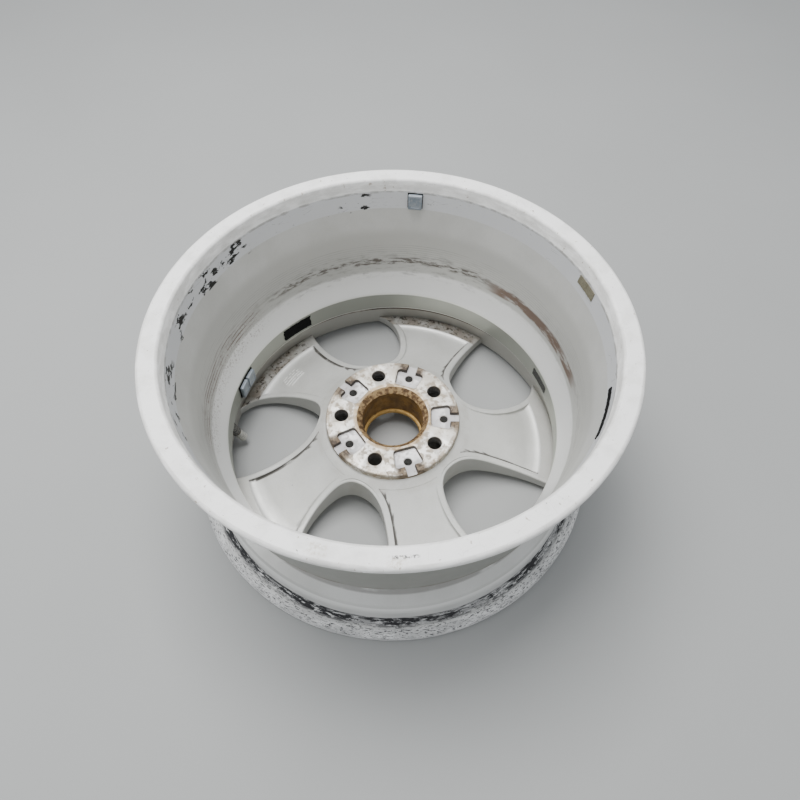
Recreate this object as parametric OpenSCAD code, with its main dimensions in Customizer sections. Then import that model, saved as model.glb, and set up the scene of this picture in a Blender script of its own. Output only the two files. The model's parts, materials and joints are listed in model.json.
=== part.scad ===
// Five-spoke light-alloy wheel, 16 x 7.5 inch, lying on its outboard face.
// Origin: centre of the hub mounting face. +Z points inboard (up), +X to the right.
// Heights (z) along the axle are counted from the mounting face.

/* [Rim] */
// Bead seat diameter (16 inch rim)
bead_d = 405.6; // [405.2:0.1:405.9]
// Width between the two flange inner faces (7.5 inch)
rim_w = 190.5; // [188:0.5:193]
// Distance from the mounting face to the middle of the rim (offset)
rim_offset = 45; // [44:0.5:46]
// Height of a flange over the bead seat
flange_h = 17.5; // [17:0.1:18]
// Thickness of a flange along the axle
flange_t = 12.25; // [11.75:0.25:13]
// Outer diameter of the drop centre
well_d = 368; // [367:0.5:369]
// Diameter where the disc meets the barrel
joint_d = 372; // [371.5:0.1:372.5]

/* [Hub] */
// Centre bore diameter
bore_d = 66.6; // [66:0.1:67.2]
// Diameter of the raised mounting pad
pad_d = 145.6; // [144:0.2:147]
// Diameter of the snap ring seat of the centre cap
cap_seat_d = 61; // [60:0.5:62]
// Thickness of the hub along the axle
hub_t = 43.5; // [43:0.25:45]
// Bolt circle diameter
pcd = 112; // [111.5:0.1:112.5]
// Number of spokes, bolt holes and windows
n_spokes = 5; // [5:1:5]
// Bolt hole diameter
lug_d = 14.8; // [14.4:0.1:15.2]
// Direction of the first bolt hole, in degrees from +X
lug_angle = 35; // [34:0.5:36]
// Depth of the casting pockets in the mounting pad
pad_pocket_depth = 5; // [4:0.5:6]

/* [Spokes] */
// Direction of the middle of the first window, in degrees from +X
window_angle = 110; // [109:0.5:111]
// Width of the raised band along each window edge
band_w = 7; // [6:0.5:8]
// Diameter of the circle where the spoke pockets end
pocket_end_d = 338.4; // [337:0.1:340]
// Greatest depth of the spoke pockets
pocket_depth = 3.4; // [2.5:0.1:4]

/* [Valve] */
// Direction of the valve, in degrees from +X
valve_angle = 179; // [178:0.5:180]
// Lean of the valve from the axle
valve_lean = 25; // [24:0.5:26]
// Diameter of the valve hole
valve_hole_d = 11.5; // [11.4:0.1:11.6]

/* [Balance weights] */
// Thickness of an adhesive weight
weight_t = 4; // [3.5:0.1:4.5]
// Thickness of the adhesive tape
tape_t = 0.8; // [0.6:0.1:1]

/* [Hidden] */
$fn = 96;

// driving radii and heights worked out from the dimensions above
bead_r = bead_d / 2;
flange_r = bead_r + flange_h;
well_r = well_d / 2;
joint_r = joint_d / 2;
bore_r = bore_d / 2;
pad_r = pad_d / 2;
cap_seat_r = cap_seat_d / 2;
lug_r = lug_d / 2;
pocket_end_r = pocket_end_d / 2;
z_out = rim_offset - rim_w / 2;        // inner face of the outboard flange
z_in = rim_offset + rim_w / 2;         // inner face of the inboard flange
step = 360 / n_spokes;
past = 20;                             // how far a cutter runs past the metal

// colours
silver = "#c9cac6";
worn_metal = "#cfc9bd";
rubber = "#2b2b2c";
brass = "#b39a5b";
zinc = "#8d98a3";
foam = "#1d1e20";
olive = "#6d6c5b";
plastic = "#8f9091";

// ---------- helpers ----------

// points of an arc about c, from angle a0 to a1, in n steps
function arc(c, r, a0, a1, n = 6) =
    [for (i = [0:n]) let (a = a0 + (a1 - a0) * i / n) [c[0] + r * cos(a), c[1] + r * sin(a)]];

// a polygon with every corner rounded to radius r
function rounded(p, r, n = 5) = [
    for (i = [0:len(p) - 1])
        let (
            here = p[i],
            before = p[(i + len(p) - 1) % len(p)],
            after = p[(i + 1) % len(p)],
            u = (before - here) / norm(before - here),
            v = (after - here) / norm(after - here),
            half = acos(u * v) / 2,
            bisector = (u + v) / norm(u + v),
            centre = here + bisector * r / sin(half),
            start = here + u * r / tan(half) - centre,
            finish = here + v * r / tan(half) - centre,
            a0 = atan2(start[1], start[0]),
            turn = atan2(start[0] * finish[1] - start[1] * finish[0], start * finish)
        )
        for (k = [0:n]) centre + r * [cos(a0 + turn * k / n), sin(a0 + turn * k / n)]
];

// one point of a Catmull-Rom curve, and its direction, between b and c
function curve_point(a, b, c, d, t) =
    ((2 * b) + (c - a) * t + (2 * a - 5 * b + 4 * c - d) * t * t
    + (3 * b - a - 3 * c + d) * t * t * t) / 2;
function curve_slope(a, b, c, d, t) =
    ((c - a) + 2 * (2 * a - 5 * b + 4 * c - d) * t + 3 * (3 * b - a - 3 * c + d) * t * t) / 2;

// a smooth curve through points p, moved sideways by out
function smooth(p, n, out = 0) = [
    for (i = [1:len(p) - 3], k = [0:n - 1])
        let (
            t = k / n,
            at = curve_point(p[i - 1], p[i], p[i + 1], p[i + 2], t),
            along = curve_slope(p[i - 1], p[i], p[i + 1], p[i + 2], t)
        )
        at + out * [along[1], -along[0]] / norm(along)
];

// copies round the axle, one for each spoke, starting at an angle
module round_the_hub(first) {
    for (k = [0:n_spokes - 1])
        rotate([0, 0, first + k * step])
            children();
}

// ---------- rim barrel ----------

lip_r = 4;                    // rounding at the outer edge of a flange
curl_r = flange_t - lip_r;    // larger rounding on the tyre side of a flange
heel_r = 5.5;                 // fillet between bead seat and flange
seat_slope = tan(5);          // bead seats lean five degrees

// outside of one flange and its bead seat, as seen on the outboard side,
// with h the distance from the flange inner face towards the flange
function flange_outline() = concat(
    arc([flange_r - lip_r, curl_r], lip_r, 90, 0),
    arc([flange_r - curl_r, curl_r], curl_r, -10, -90, 8),
    arc([bead_r + heel_r, -heel_r], heel_r, 90, 180, 6),
    [
        [bead_r - 12 * seat_slope, -14.5],
        [bead_r - 15 * seat_slope, -17.5],
        [bead_r - 0.6, -19.5],
        [bead_r - 0.4, -21],
        [bead_r - 0.9, -22.5]
    ]
);

// turns a flange outline into rim coordinates: side -1 is outboard, +1 inboard
function to_rim(p, z_face, side) = [for (q = p) [q[0], z_face + side * q[1]]];
function reversed(p) = [for (i = [len(p) - 1:-1:0]) p[i]];

well_out_z = -14;             // outboard end of the drop centre
well_in_z = 5;                // inboard end of the drop centre
slope_top = [198, -20.5];     // top of the outboard slope of the drop centre
valve_seat = [189.5, -16.55]; // where the valve axis crosses that slope
ledge_in = [176.2, 4];        // inner ledge that carries adhesive weights
ledge_out = [177.5, -21];
strip_low = [196.8, 119.4];   // near-vertical strip under the inboard lip
strip_high = [199.3, 137.8];

rim_outside = concat(
    to_rim(flange_outline(), z_out, -1),
    [[201.2, -25.6], [199.2, -22.6], slope_top],
    [[well_r + 1.6, well_out_z - 0.7], [well_r, well_out_z + 1]],
    [[well_r, well_in_z - 1], [well_r + 1, well_in_z + 0.8]],
    [[193.6, 20.2], [194.3, 21.4], [194.5, 23]],
    [[195.4, 60], [197.2, 96], [199.4, 108]],
    reversed(to_rim(flange_outline(), z_in, 1))
);
rim_inside = concat(
    arc([strip_high[0] + 5.2, z_in + flange_t - 3.2], 3.4, 75, 165, 5),
    [strip_high, strip_low],
    [[195, 109], [191.7, 91], [189, 75], [187.9, 62], [187, 47]],
    [[185.7, 35], [183.7, 25.5], [181, 17.2], [178.6, 10.6], [176.9, 6.2], ledge_in],
    [ledge_out, [178.4, -22.8], [180.6, -24.6], [184.4, -28], [joint_r, -31]],
    [[joint_r, -57], [191.5, -57.4], [195.8, -59]],
    arc([202, z_out - flange_t + 4], 4, -130, -90, 3)
);

// axis frame of the valve: the stem points along +Z of this frame, from the tyre side
module on_valve_axis() {
    rotate([0, 0, valve_angle])
        translate([valve_seat[0], 0, valve_seat[1]])
            rotate([0, 180 + valve_lean, 0])
                children();
}

valve_wall = 4;       // metal left under the valve, at its spot face
spot_face_r = 9.5;

module rim_barrel() {
    color(silver)
        difference() {
            rotate_extrude($fn = 180)
                polygon(concat(rim_outside, rim_inside));
            on_valve_axis()
                translate([0, 0, -past])
                    cylinder(r = valve_hole_d / 2, h = past + valve_wall + 1);
            on_valve_axis()
                translate([0, 0, valve_wall])
                    cylinder(r = spot_face_r, h = past);
        }
}

// ---------- wheel disc: hub and five spokes ----------

// back of the disc from the barrel to the pad: radius and height
disc_back = [
    [joint_r, -47.6], [183.5, -46.4], [180, -45.9], [175, -45.5], [168, -44.5], [160, -43],
    [150, -40.8], [140, -38.1], [130, -34.9], [120, -31.2], [110, -27.1], [100, -22.5],
    [90, -17.4], [82, -13], [76.5, -9.8], [74.2, -8.9], [73.1, -7.8]
];
disc_front = [
    [64, -hub_t - 0.8], [80, -46.2], [100, -48.6], [120, -51], [140, -53.3], [160, -55.3],
    [175, -56.5], [joint_r, -57]
];
bore_chamfer = 6;
cap_seat_z = -38;

module disc_blank() {
    rotate_extrude($fn = 180)
        polygon(concat(
            disc_back,
            [[pad_r, -6.8], [pad_r, -0.7], [pad_r - 0.7, 0]],
            [[bore_r + bore_chamfer, 0], [bore_r, -bore_chamfer], [bore_r, cap_seat_z]],
            [[cap_seat_r + 0.8, cap_seat_z], [cap_seat_r, cap_seat_z - 0.8]],
            [[cap_seat_r, 1.5 - hub_t], [cap_seat_r + 1.5, -hub_t]],
            disc_front
        ));
}

// edge of one window in its own frame: y runs outwards, x clockwise
window_edge = [
    [-48, 205], [-47, 190], [-45.5, 172], [-41, 152], [-32.5, 128], [-20, 103.5], [-8, 90],
    [7, 82.6], [22, 81.3], [35, 88.5], [47.5, 107], [55.5, 130], [57.5, 150], [54.5, 166],
    [47, 178], [36, 190], [24, 205]
];
window_steps = 4;

module window_shape(out = 0) {
    edge = smooth(window_edge, window_steps, out);
    polygon(concat(edge, [[30, 215], [-40, 215]]));
}

// floor height of the spoke pockets at radius r
function pocket_floor(p) =
    let (t = (p[0] - 76) / (160 - 76)) [p[0], p[1] - (0.3 + (pocket_depth - 0.3) * t)];

module spoke_pockets() {
    // the floor, then a rounded rise at the outer end, then a lid above the metal
    difference() {
        rotate_extrude($fn = 180)
            polygon(concat(
                [for (p = reversed(disc_back)) if (p[0] > 77 && p[0] <= 160) pocket_floor(p)],
                [[163.6, -46.1], [165.8, -45.9], [167.6, -45.3], [pocket_end_r, -44.2]],
                [[pocket_end_r, 10], [82, 10]]
            ));
        round_the_hub(window_angle - 90)
            translate([0, 0, -past * 4])
                linear_extrude(height = past * 6)
                    window_shape(band_w);
    }
}

pad_pocket_in = 42;        // radii of the casting pockets in the pad
pad_pocket_out = 63;
pad_pocket_r = 4.3;        // small blind hole in each pocket
pad_slot_w = 11;
lug_seat_z = -12;          // narrow end of the bolt seat
lug_seat_r = 12.6;         // wide end of the bolt seat
lug_well_r = 14.2;         // socket well in front of the seat
lug_seat_h = 9;

module lug_hole() {
    translate([pcd / 2, 0, 0]) {
        translate([0, 0, lug_seat_z - 1])
            cylinder(r = lug_r, h = past);
        translate([0, 0, lug_seat_z - lug_seat_h])
            cylinder(r1 = lug_seat_r, r2 = lug_r, h = lug_seat_h);
        translate([0, 0, lug_seat_z - lug_seat_h - past * 2])
            cylinder(r = lug_well_r, h = past * 2);
    }
}

module pad_pocket() {
    translate([0, 0, -pad_pocket_depth]) {
        linear_extrude(height = past)
            polygon(rounded([
                [pad_pocket_in, -12], [pad_pocket_out, -15.5],
                [pad_pocket_out, 15.5], [pad_pocket_in, 12]
            ], 3.5));
        translate([pad_pocket_out - 4, -pad_slot_w / 2, 0])
            cube([pad_r + 2 - pad_pocket_out + 4, pad_slot_w, past]);
    }
    translate([pcd / 2, 0, -past])
        cylinder(r = pad_pocket_r, h = past * 2, $fn = 48);
}

module wheel_disc() {
    color(silver)
        difference() {
            disc_blank();
            round_the_hub(window_angle - 90)
                translate([0, 0, -past * 5])
                    linear_extrude(height = past * 6)
                        window_shape();
            spoke_pockets();
            round_the_hub(lug_angle)
                lug_hole();
            round_the_hub(lug_angle - step / 2)
                pad_pocket();
        }
}

// ---------- tyre valve ----------
// distances t run along the valve axis: 0 at the tyre side of the rim wall

base_r = 9.6;
body_r = 7.6;
stem_r = 3.85;
stem_end = 36.5;
core_bore_r = 2.6;
core_seat = 27.5;      // height of the sealing cone of the valve core
hole_r = 1.8;          // air passage below the core seat
stem_foot = -3;

module valve_rubber_body() {
    color(rubber)
        on_valve_axis()
            rotate_extrude()
                polygon(concat(
                    [[stem_r - 0.6, stem_foot], [4.6, -6.5], [7.2, -6.5]],
                    arc([7.2, -4.1], 2.4, -60, 10, 4),
                    [[base_r, -0.8], [base_r - 0.8, 0], [valve_hole_d / 2, 0]],
                    [[valve_hole_d / 2, valve_wall], [body_r, valve_wall], [body_r, 7]],
                    [[6.6, 12], [6, 17], [5.7, 22], [5.5, 25], [4.9, 26], [stem_r, 26]],
                    [[stem_r, 23], [stem_r - 0.6, 22.4]]
                ));
}

module valve_stem() {
    color(brass)
        on_valve_axis()
            rotate_extrude($fn = 64)
                polygon([
                    [hole_r, stem_foot], [stem_r - 0.6, stem_foot], [stem_r - 0.6, 22.4],
                    [stem_r, 23], [stem_r, stem_end - 0.6], [stem_r - 0.6, stem_end],
                    [core_bore_r + 0.4, stem_end], [core_bore_r, stem_end - 0.4],
                    [core_bore_r, core_seat + 1], [hole_r, core_seat - 1]
                ]);
}

pin_r = 0.45;
cup_r = 1.35;

module valve_core_body() {
    color(brass)
        on_valve_axis()
            rotate_extrude($fn = 48)
                polygon([
                    [0.75, 20.5], [1.3, 20.5], [1.3, 26], [1.5, 27.2],
                    [1.5, 29], [core_bore_r, 30], [core_bore_r, 33.6], [2, 34.4],
                    [1.4, 34.4], [1.4, 29.7], [0.75, 29.7]
                ]);
}

module valve_core_seal() {
    color("white")
        on_valve_axis()
            rotate_extrude($fn = 48)
                polygon([[1.5, 27.2], [1.8, 26.8], [2.55, 28.5], [2.55, 29], [1.5, 29]]);
}

spring_foot = 29.9;    // middle of the lowest coil
spring_step = 0.85;
spring_wire_r = 0.14;
collar_r = 1.33;       // the collar runs in the core body and rests on the spring
collar_foot = spring_foot + 5 * spring_step + spring_wire_r;

module valve_core_pin() {
    color(brass)
        on_valve_axis()
            union() {
                translate([0, 0, 15.4])
                    cylinder(r = pin_r, h = 20.4, $fn = 32);
                translate([0, 0, collar_foot])
                    cylinder(r = collar_r, h = 0.4, $fn = 32);
                translate([0, 0, collar_foot + 0.3])
                    cylinder(r = 0.8, h = 1.21, $fn = 32);
            }
}

module valve_core_cup() {
    color(rubber)
        on_valve_axis()
            rotate_extrude($fn = 40)
                polygon([[pin_r, 17.4], [cup_r, 17.4], [cup_r, 20], [1, 20.48], [pin_r, 20.48]]);
}

// the small return spring, drawn as separate coils round the pin
module valve_core_spring() {
    color("silver")
        on_valve_axis()
            for (k = [0:5])
                translate([0, 0, spring_foot + k * spring_step])
                    rotate_extrude($fn = 32)
                        translate([1.1, 0, 0])
                            circle(r = spring_wire_r, $fn = 16);
}

cap_r = 4.9;
cap_foot = 27;
cap_top = 39.5;

module valve_cap() {
    color(plastic)
        on_valve_axis()
            difference() {
                rotate_extrude($fn = 64)
                    polygon(concat(
                        [[stem_r + 0.06, cap_foot], [cap_r - 0.3, cap_foot], [cap_r, cap_foot + 0.4]],
                        arc([cap_r - 1.3, cap_top - 1.3], 1.3, 0, 90, 5),
                        [[0, cap_top], [0, 37.6], [stem_r + 0.06, 37.6]]
                    ));
                for (k = [0:15])
                    rotate([0, 0, k * 360 / 16])
                        translate([cap_r + 0.35, 0, cap_foot + 1.5])
                            cylinder(r = 0.7, h = 8, $fn = 16);
            }
}

module valve_cap_seal() {
    color(rubber)
        on_valve_axis()
            translate([0, 0, stem_end + 0.05])
                cylinder(r = stem_r - 0.15, h = 1, $fn = 48);
}

// ---------- balance weights and tape ----------

// radius of the wall at height z: the ledge, or the strip under the inboard lip
function ledge_r(z) =
    ledge_out[0] + (ledge_in[0] - ledge_out[0]) * (z - ledge_out[1]) / (ledge_in[1] - ledge_out[1]);
function strip_r(z) =
    strip_low[0] + (strip_high[0] - strip_low[0]) * (z - strip_low[1]) / (strip_high[1] - strip_low[1]);

// a strip stuck on the wall: depths a to b off the wall, heights z0 to z1, angles a0 to a1
module on_wall(r0, r1, z0, z1, a, b, a0, a1) {
    rotate([0, 0, a0])
        rotate_extrude(angle = a1 - a0, $fn = 180)
            polygon([[r0 - a, z0], [r1 - a, z1], [r1 - b, z1], [r0 - b, z0]]);
}
module on_ledge(z0, z1, a, b, a0, a1) {
    on_wall(ledge_r(z0), ledge_r(z1), z0, z1, a, b, a0, a1);
}
module on_strip(z0, z1, a, b, a0, a1) {
    on_wall(strip_r(z0), strip_r(z1), z0, z1, a, b, a0, a1);
}

module weight_single() {
    color(zinc)
        on_strip(120.6, 137, tape_t, tape_t + weight_t, 80.6, 85);
}

module weight_single_tape() {
    color(foam)
        on_strip(120.2, 137.6, 0, tape_t, 80.4, 85.3);
}

module weight_pair_first() {
    color(zinc)
        on_ledge(-19, -0.6, tape_t, tape_t + weight_t, 158.2, 162.9);
}

module weight_pair_second() {
    color(zinc)
        on_ledge(-19, -0.6, tape_t, tape_t + weight_t, 163.3, 168);
}

module weight_pair_tape() {
    color(foam)
        on_ledge(-19.4, 0.8, 0, tape_t, 157.9, 168.4);
}

module tape_remnant_black() {
    color(foam)
        on_ledge(-18, 1.4, 0, tape_t, 125, 138.4);
}

module tape_remnant_grey() {
    color("#3b3c3d")
        on_ledge(-15, -2.6, 0, tape_t, 12.6, 22.9);
}

module tape_remnant_olive() {
    color(olive)
        on_strip(127, 137.2, 0, tape_t, 14.4, 22.6);
}

module tape_remnant_edge() {
    color(foam)
        on_strip(122, 131, 0, tape_t, -31, -14.5);
}

rim_barrel();
wheel_disc();
valve_rubber_body();
valve_stem();
valve_core_body();
valve_core_seal();
valve_core_pin();
valve_core_cup();
valve_core_spring();
valve_cap();
valve_cap_seal();
weight_single();
weight_single_tape();
weight_pair_first();
weight_pair_second();
weight_pair_tape();
tape_remnant_black();
tape_remnant_grey();
tape_remnant_olive();
tape_remnant_edge();
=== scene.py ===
# %% [markdown]
# # A five-spoke alloy wheel, seen from its inboard side
#
# The wheel is a light-alloy casting: a barrel that carries the tyre, and a disc with five
# spokes and a hub. It is old and has been used, so the lesson is half about shapes and
# half about dirt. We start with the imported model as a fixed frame. The main sizes are read
# from it, and each new piece stands where its plain twin stands.

# %% The frame
import json
import math

import bmesh
import bpy
from mathutils import Matrix, Vector, noise

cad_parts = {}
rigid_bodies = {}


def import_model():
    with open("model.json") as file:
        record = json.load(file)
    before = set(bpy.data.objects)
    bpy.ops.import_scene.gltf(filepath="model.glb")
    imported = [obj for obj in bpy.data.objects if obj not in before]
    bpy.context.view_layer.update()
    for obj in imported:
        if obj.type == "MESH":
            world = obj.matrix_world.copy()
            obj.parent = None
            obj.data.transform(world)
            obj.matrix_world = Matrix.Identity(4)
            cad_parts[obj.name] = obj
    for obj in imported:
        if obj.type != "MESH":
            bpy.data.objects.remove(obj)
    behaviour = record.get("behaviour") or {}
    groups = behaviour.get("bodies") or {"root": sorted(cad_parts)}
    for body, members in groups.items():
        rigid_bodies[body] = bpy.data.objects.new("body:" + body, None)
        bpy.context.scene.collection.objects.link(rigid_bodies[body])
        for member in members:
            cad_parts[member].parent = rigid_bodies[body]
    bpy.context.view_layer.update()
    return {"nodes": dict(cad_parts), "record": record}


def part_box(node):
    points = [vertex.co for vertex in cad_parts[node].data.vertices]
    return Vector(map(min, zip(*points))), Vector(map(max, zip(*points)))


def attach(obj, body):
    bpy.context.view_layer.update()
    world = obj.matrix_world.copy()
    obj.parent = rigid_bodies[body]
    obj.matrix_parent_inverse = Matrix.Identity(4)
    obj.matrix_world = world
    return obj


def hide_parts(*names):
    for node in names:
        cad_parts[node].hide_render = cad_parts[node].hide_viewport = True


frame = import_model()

MM = 0.001
TURN = 2 * math.pi

# %% [markdown]
# ## Places that everything else uses
#
# Lengths are written in millimetres, as on a drawing, and turned into metres with MM at
# the last moment. The axle is the Z axis, and heights are counted from the face that
# bolts to the hub. An angle of 0 points to +X. The radii below are read from the frame
# where the frame knows them.

# %% Main sizes
wheel_low, wheel_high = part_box("rim_barrel")
disc_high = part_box("wheel_disc")[1]
FLANGE_R = round(wheel_high.x / MM, 1)       # outside of both flanges
FRONT_Z = round(wheel_low.z / MM, 1)         # lowest point, on the floor
JOINT_R = round(disc_high.x / MM, 1)         # where disc and barrel meet
SPOKES = 5
STEP = 360 / SPOKES
FIRST_WINDOW = 110                           # direction of the first window, degrees
FIRST_BOLT = 35                              # direction of the first bolt hole
BOLT_R = 56                                  # radius of the bolt circle

print("flange radius", FLANGE_R, "joint radius", JOINT_R, "lowest point", FRONT_Z)

# %% [markdown]
# ## Small tools for working without a window
#
# Operators act on whatever is selected, so each tool first clears the selection. The
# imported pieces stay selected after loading, and would otherwise be changed too.

# %% Selecting and finishing
def clear_selection():
    if bpy.context.object and bpy.context.object.mode != "OBJECT":
        bpy.ops.object.mode_set(mode="OBJECT")
    bpy.ops.object.select_all(action="DESELECT")


def pick(*pieces):
    clear_selection()
    for piece in pieces:
        piece.select_set(True)
    bpy.context.view_layer.objects.active = pieces[0]


def settle(piece, angle=35):
    """Put a piece's place into its mesh and shade it smooth up to an angle."""
    pick(piece)
    bpy.ops.object.transform_apply(location=True, rotation=True, scale=True)
    bpy.ops.object.shade_smooth_by_angle(angle=math.radians(angle))
    return piece


def tidy_mesh(piece):
    """Merge doubles, drop loose bits and turn every face outwards."""
    pick(piece)
    bpy.ops.object.mode_set(mode="EDIT")
    bpy.ops.mesh.select_all(action="SELECT")
    bpy.ops.mesh.remove_doubles(threshold=0.002 * MM)
    bpy.ops.mesh.delete_loose(use_verts=True, use_edges=True, use_faces=False)
    bpy.ops.mesh.select_all(action="SELECT")
    bpy.ops.mesh.normals_make_consistent(inside=False)
    bpy.ops.object.mode_set(mode="OBJECT")
    return piece


print("tools ready")

# %% [markdown]
# ## Turning
#
# Most of a wheel is turned: one section, swept once round the axle. By hand you would
# draw the section as a loop of vertices and use Spin. Here a circle gives the loop, its
# vertices are moved to the section's corners, and Spin does the rest. The corners are
# eased first, because no casting and no machined edge is perfectly sharp, and the small
# roundings catch the light.

# %% Arcs and eased corners
def arc(centre, radius, first, last, steps=8):
    """Points of an arc, from one angle in degrees to another."""
    points = []
    for i in range(steps + 1):
        a = math.radians(first + (last - first) * i / steps)
        points.append((centre[0] + radius * math.cos(a), centre[1] + radius * math.sin(a)))
    return points


def eased(section, radius=0.6, sharp=12, steps=2):
    """Round each corner that turns by more than a few degrees."""
    result = []
    count = len(section)
    for i, here in enumerate(section):
        here = Vector(here)
        before = Vector(section[i - 1]) - here
        after = Vector(section[(i + 1) % count]) - here
        turn = 180 - math.degrees(before.angle(after))
        if turn < sharp or here.x < 0.01:
            result.append(tuple(here))
            continue
        back = min(radius * math.tan(math.radians(turn / 2)), before.length / 2.2, after.length / 2.2)
        start = here + before.normalized() * back
        end = here + after.normalized() * back
        for k in range(steps + 1):
            t = k / steps
            point = start * (1 - t) ** 2 + here * 2 * t * (1 - t) + end * t ** 2
            result.append(tuple(point))
    return result


def turned(name, section, steps):
    """Spin a closed section of (radius, height) points once round the Z axis."""
    clear_selection()
    bpy.ops.mesh.primitive_circle_add(vertices=len(section), radius=MM)
    piece = bpy.context.object
    piece.name = name
    piece.data.name = name
    for vertex, (radius, height) in zip(piece.data.vertices, section):
        vertex.co = (radius * MM, 0, height * MM)
    bpy.ops.object.mode_set(mode="EDIT")
    bpy.ops.mesh.select_all(action="SELECT")
    bpy.ops.mesh.spin(steps=steps, angle=TURN, center=(0, 0, 0), axis=(0, 0, 1))
    bpy.ops.object.mode_set(mode="OBJECT")
    return tidy_mesh(piece)


print("an eased square has", len(eased([(10, 0), (20, 0), (20, 10), (10, 10)])), "points")

# %% [markdown]
# ## Skinning and cutting
#
# Shapes that aren't turned are skinned: a grid is laid ring by ring over a list of
# outlines and its seam is merged. The skins are mostly cutters, and a Boolean modifier
# takes them away from the metal. A cutter carries its own roundings, so the edge that it
# leaves is already soft, and no bevel has to be squeezed in between small faces later.

# %% Skins, copies and cuts
def skin(name, rings):
    """Lay a grid over rings of (x, y, z) points; all rings have the same number of points."""
    around = len(rings[0])
    clear_selection()
    bpy.ops.mesh.primitive_grid_add(x_subdivisions=around, y_subdivisions=len(rings) - 1)
    piece = bpy.context.object
    piece.name = name
    piece.data.name = name
    for i, vertex in enumerate(piece.data.vertices):
        ring = rings[i // (around + 1)]
        vertex.co = Vector(ring[i % (around + 1) % around]) * MM
    bpy.ops.object.mode_set(mode="EDIT")
    bpy.ops.mesh.select_all(action="SELECT")
    bpy.ops.mesh.remove_doubles(threshold=0.002 * MM)
    bpy.ops.object.mode_set(mode="OBJECT")
    return piece


def capped_skin(name, rings):
    """A closed skin: each end ring is closed on its own."""
    piece = skin(name, rings)
    bpy.ops.object.mode_set(mode="EDIT")
    bpy.ops.mesh.select_all(action="DESELECT")
    mesh = bmesh.from_edit_mesh(piece.data)
    for end in (0, 1):
        rim = [v for v in mesh.verts if v.is_boundary]
        height = max(v.co.z for v in rim) if end else min(v.co.z for v in rim)
        start = min(rim, key=lambda v: abs(v.co.z - height))
        loop = follow_boundary(start)
        mesh.faces.new(loop)
        mesh.verts.ensure_lookup_table()
    bmesh.update_edit_mesh(piece.data)
    bpy.ops.object.mode_set(mode="OBJECT")
    return tidy_mesh(piece)


def follow_boundary(start):
    """The open loop of vertices that starts at one boundary vertex."""
    loop = [start]
    while True:
        onward = [e.other_vert(loop[-1]) for e in loop[-1].link_edges if e.is_boundary]
        onward = [v for v in onward if v not in loop[-2:]]
        if not onward or onward[0] is start:
            return loop
        loop.append(onward[0])


def copies_round_hub(piece, first):
    """Copies of a piece at each spoke's angle, joined into one; the first one is moved too."""
    copies = [piece]
    for k in range(1, SPOKES):
        copy = piece.copy()
        copy.data = piece.data.copy()
        bpy.context.scene.collection.objects.link(copy)
        copies.append(copy)
    for k, copy in enumerate(copies):
        copy.data.transform(Matrix.Rotation(math.radians(first + k * STEP), 4, "Z"))
    pick(*copies)
    bpy.ops.object.join()
    return bpy.context.object


def cut(piece, cutter, operation="DIFFERENCE"):
    """Take a cutter away from a piece and remove the cutter."""
    pick(piece)
    modifier = piece.modifiers.new("cut", "BOOLEAN")
    modifier.object = cutter
    modifier.operation = operation
    modifier.solver = "EXACT"
    bpy.ops.object.modifier_apply(modifier=modifier.name)
    bpy.data.objects.remove(cutter)
    return piece


print("a copy is made for each of", SPOKES, "spokes")

# %% [markdown]
# ## The rim barrel
#
# The barrel's outside is what the tyre knows: two flanges, two bead seats that lean five
# degrees, and the drop centre between them. Its inside is smooth, with a ledge low down
# and a narrow upright strip below the lip, where balance weights are stuck. All of this
# is one section, read off from the outboard flange, up the outside, over the inboard lip
# and down the inside. One Spin of it makes the whole barrel.

# %% Section of the barrel
OUT_FACE = -50.25        # inner face of the outboard flange
IN_FACE = 140.25         # inner face of the inboard flange
FLANGE_T = OUT_FACE - FRONT_Z    # both flanges are equally thick
BEAD_R = 202.8
WELL_R = 184
LIP_ROUND = 4
SEAT_SLOPE = math.tan(math.radians(5))


def flange_outline():
    """One flange and bead seat: radius, and distance out from the flange's inner face."""
    curl = FLANGE_T - LIP_ROUND
    return (
        arc((FLANGE_R - LIP_ROUND, curl), LIP_ROUND, 90, 0, 8)
        + arc((FLANGE_R - curl, curl), curl, -10, -90, 10)
        + arc((BEAD_R + 5.5, -5.5), 5.5, 90, 180, 8)
        + [(BEAD_R - 12 * SEAT_SLOPE, -14.5), (BEAD_R - 15 * SEAT_SLOPE, -17.5)]
        + [(BEAD_R - 0.6, -19.5), (BEAD_R - 0.4, -21), (BEAD_R - 0.9, -22.5)]
    )


outboard = [(r, OUT_FACE - h) for r, h in flange_outline()]
inboard = [(r, IN_FACE + h) for r, h in reversed(flange_outline())]
drop_centre = [(201.2, -25.6), (199.2, -22.6), (198, -20.5), (WELL_R + 1.6, -14.7), (WELL_R, -13)]
drop_centre += [(WELL_R, 4), (WELL_R + 1, 5.8), (193.6, 20.2), (194.3, 21.4), (194.5, 23)]
upper_wall = [(195.4, 60), (197.2, 96), (199.4, 108)]
lip_inside = arc((204.5, IN_FACE + FLANGE_T - 3.2), 3.2, 80, 165, 6)
STRIP = [(199.3, 137.8), (196.8, 119.4)]
inner_wall = [(195, 109), (191.7, 91), (189, 75), (187.9, 62), (187, 47), (185.7, 35)]
inner_wall += [(183.7, 25.5), (181, 17.2), (178.6, 10.6), (176.9, 6.2)]
LEDGE = [(176.2, 4), (177.5, -21)]
groove = [(178.4, -22.8), (180.6, -24.6), (184.4, -28), (JOINT_R, -31)]
foot = [(JOINT_R, -57), (191.5, -57.4), (195.8, -59)] + arc((202, FRONT_Z + 4), 4, -130, -90, 4)

section = outboard + drop_centre + upper_wall + inboard
section += lip_inside + STRIP + inner_wall + LEDGE + groove + foot
barrel = turned("barrel_shell", eased(section, 1.2), 256)
print("barrel section has", len(section), "points")

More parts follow.
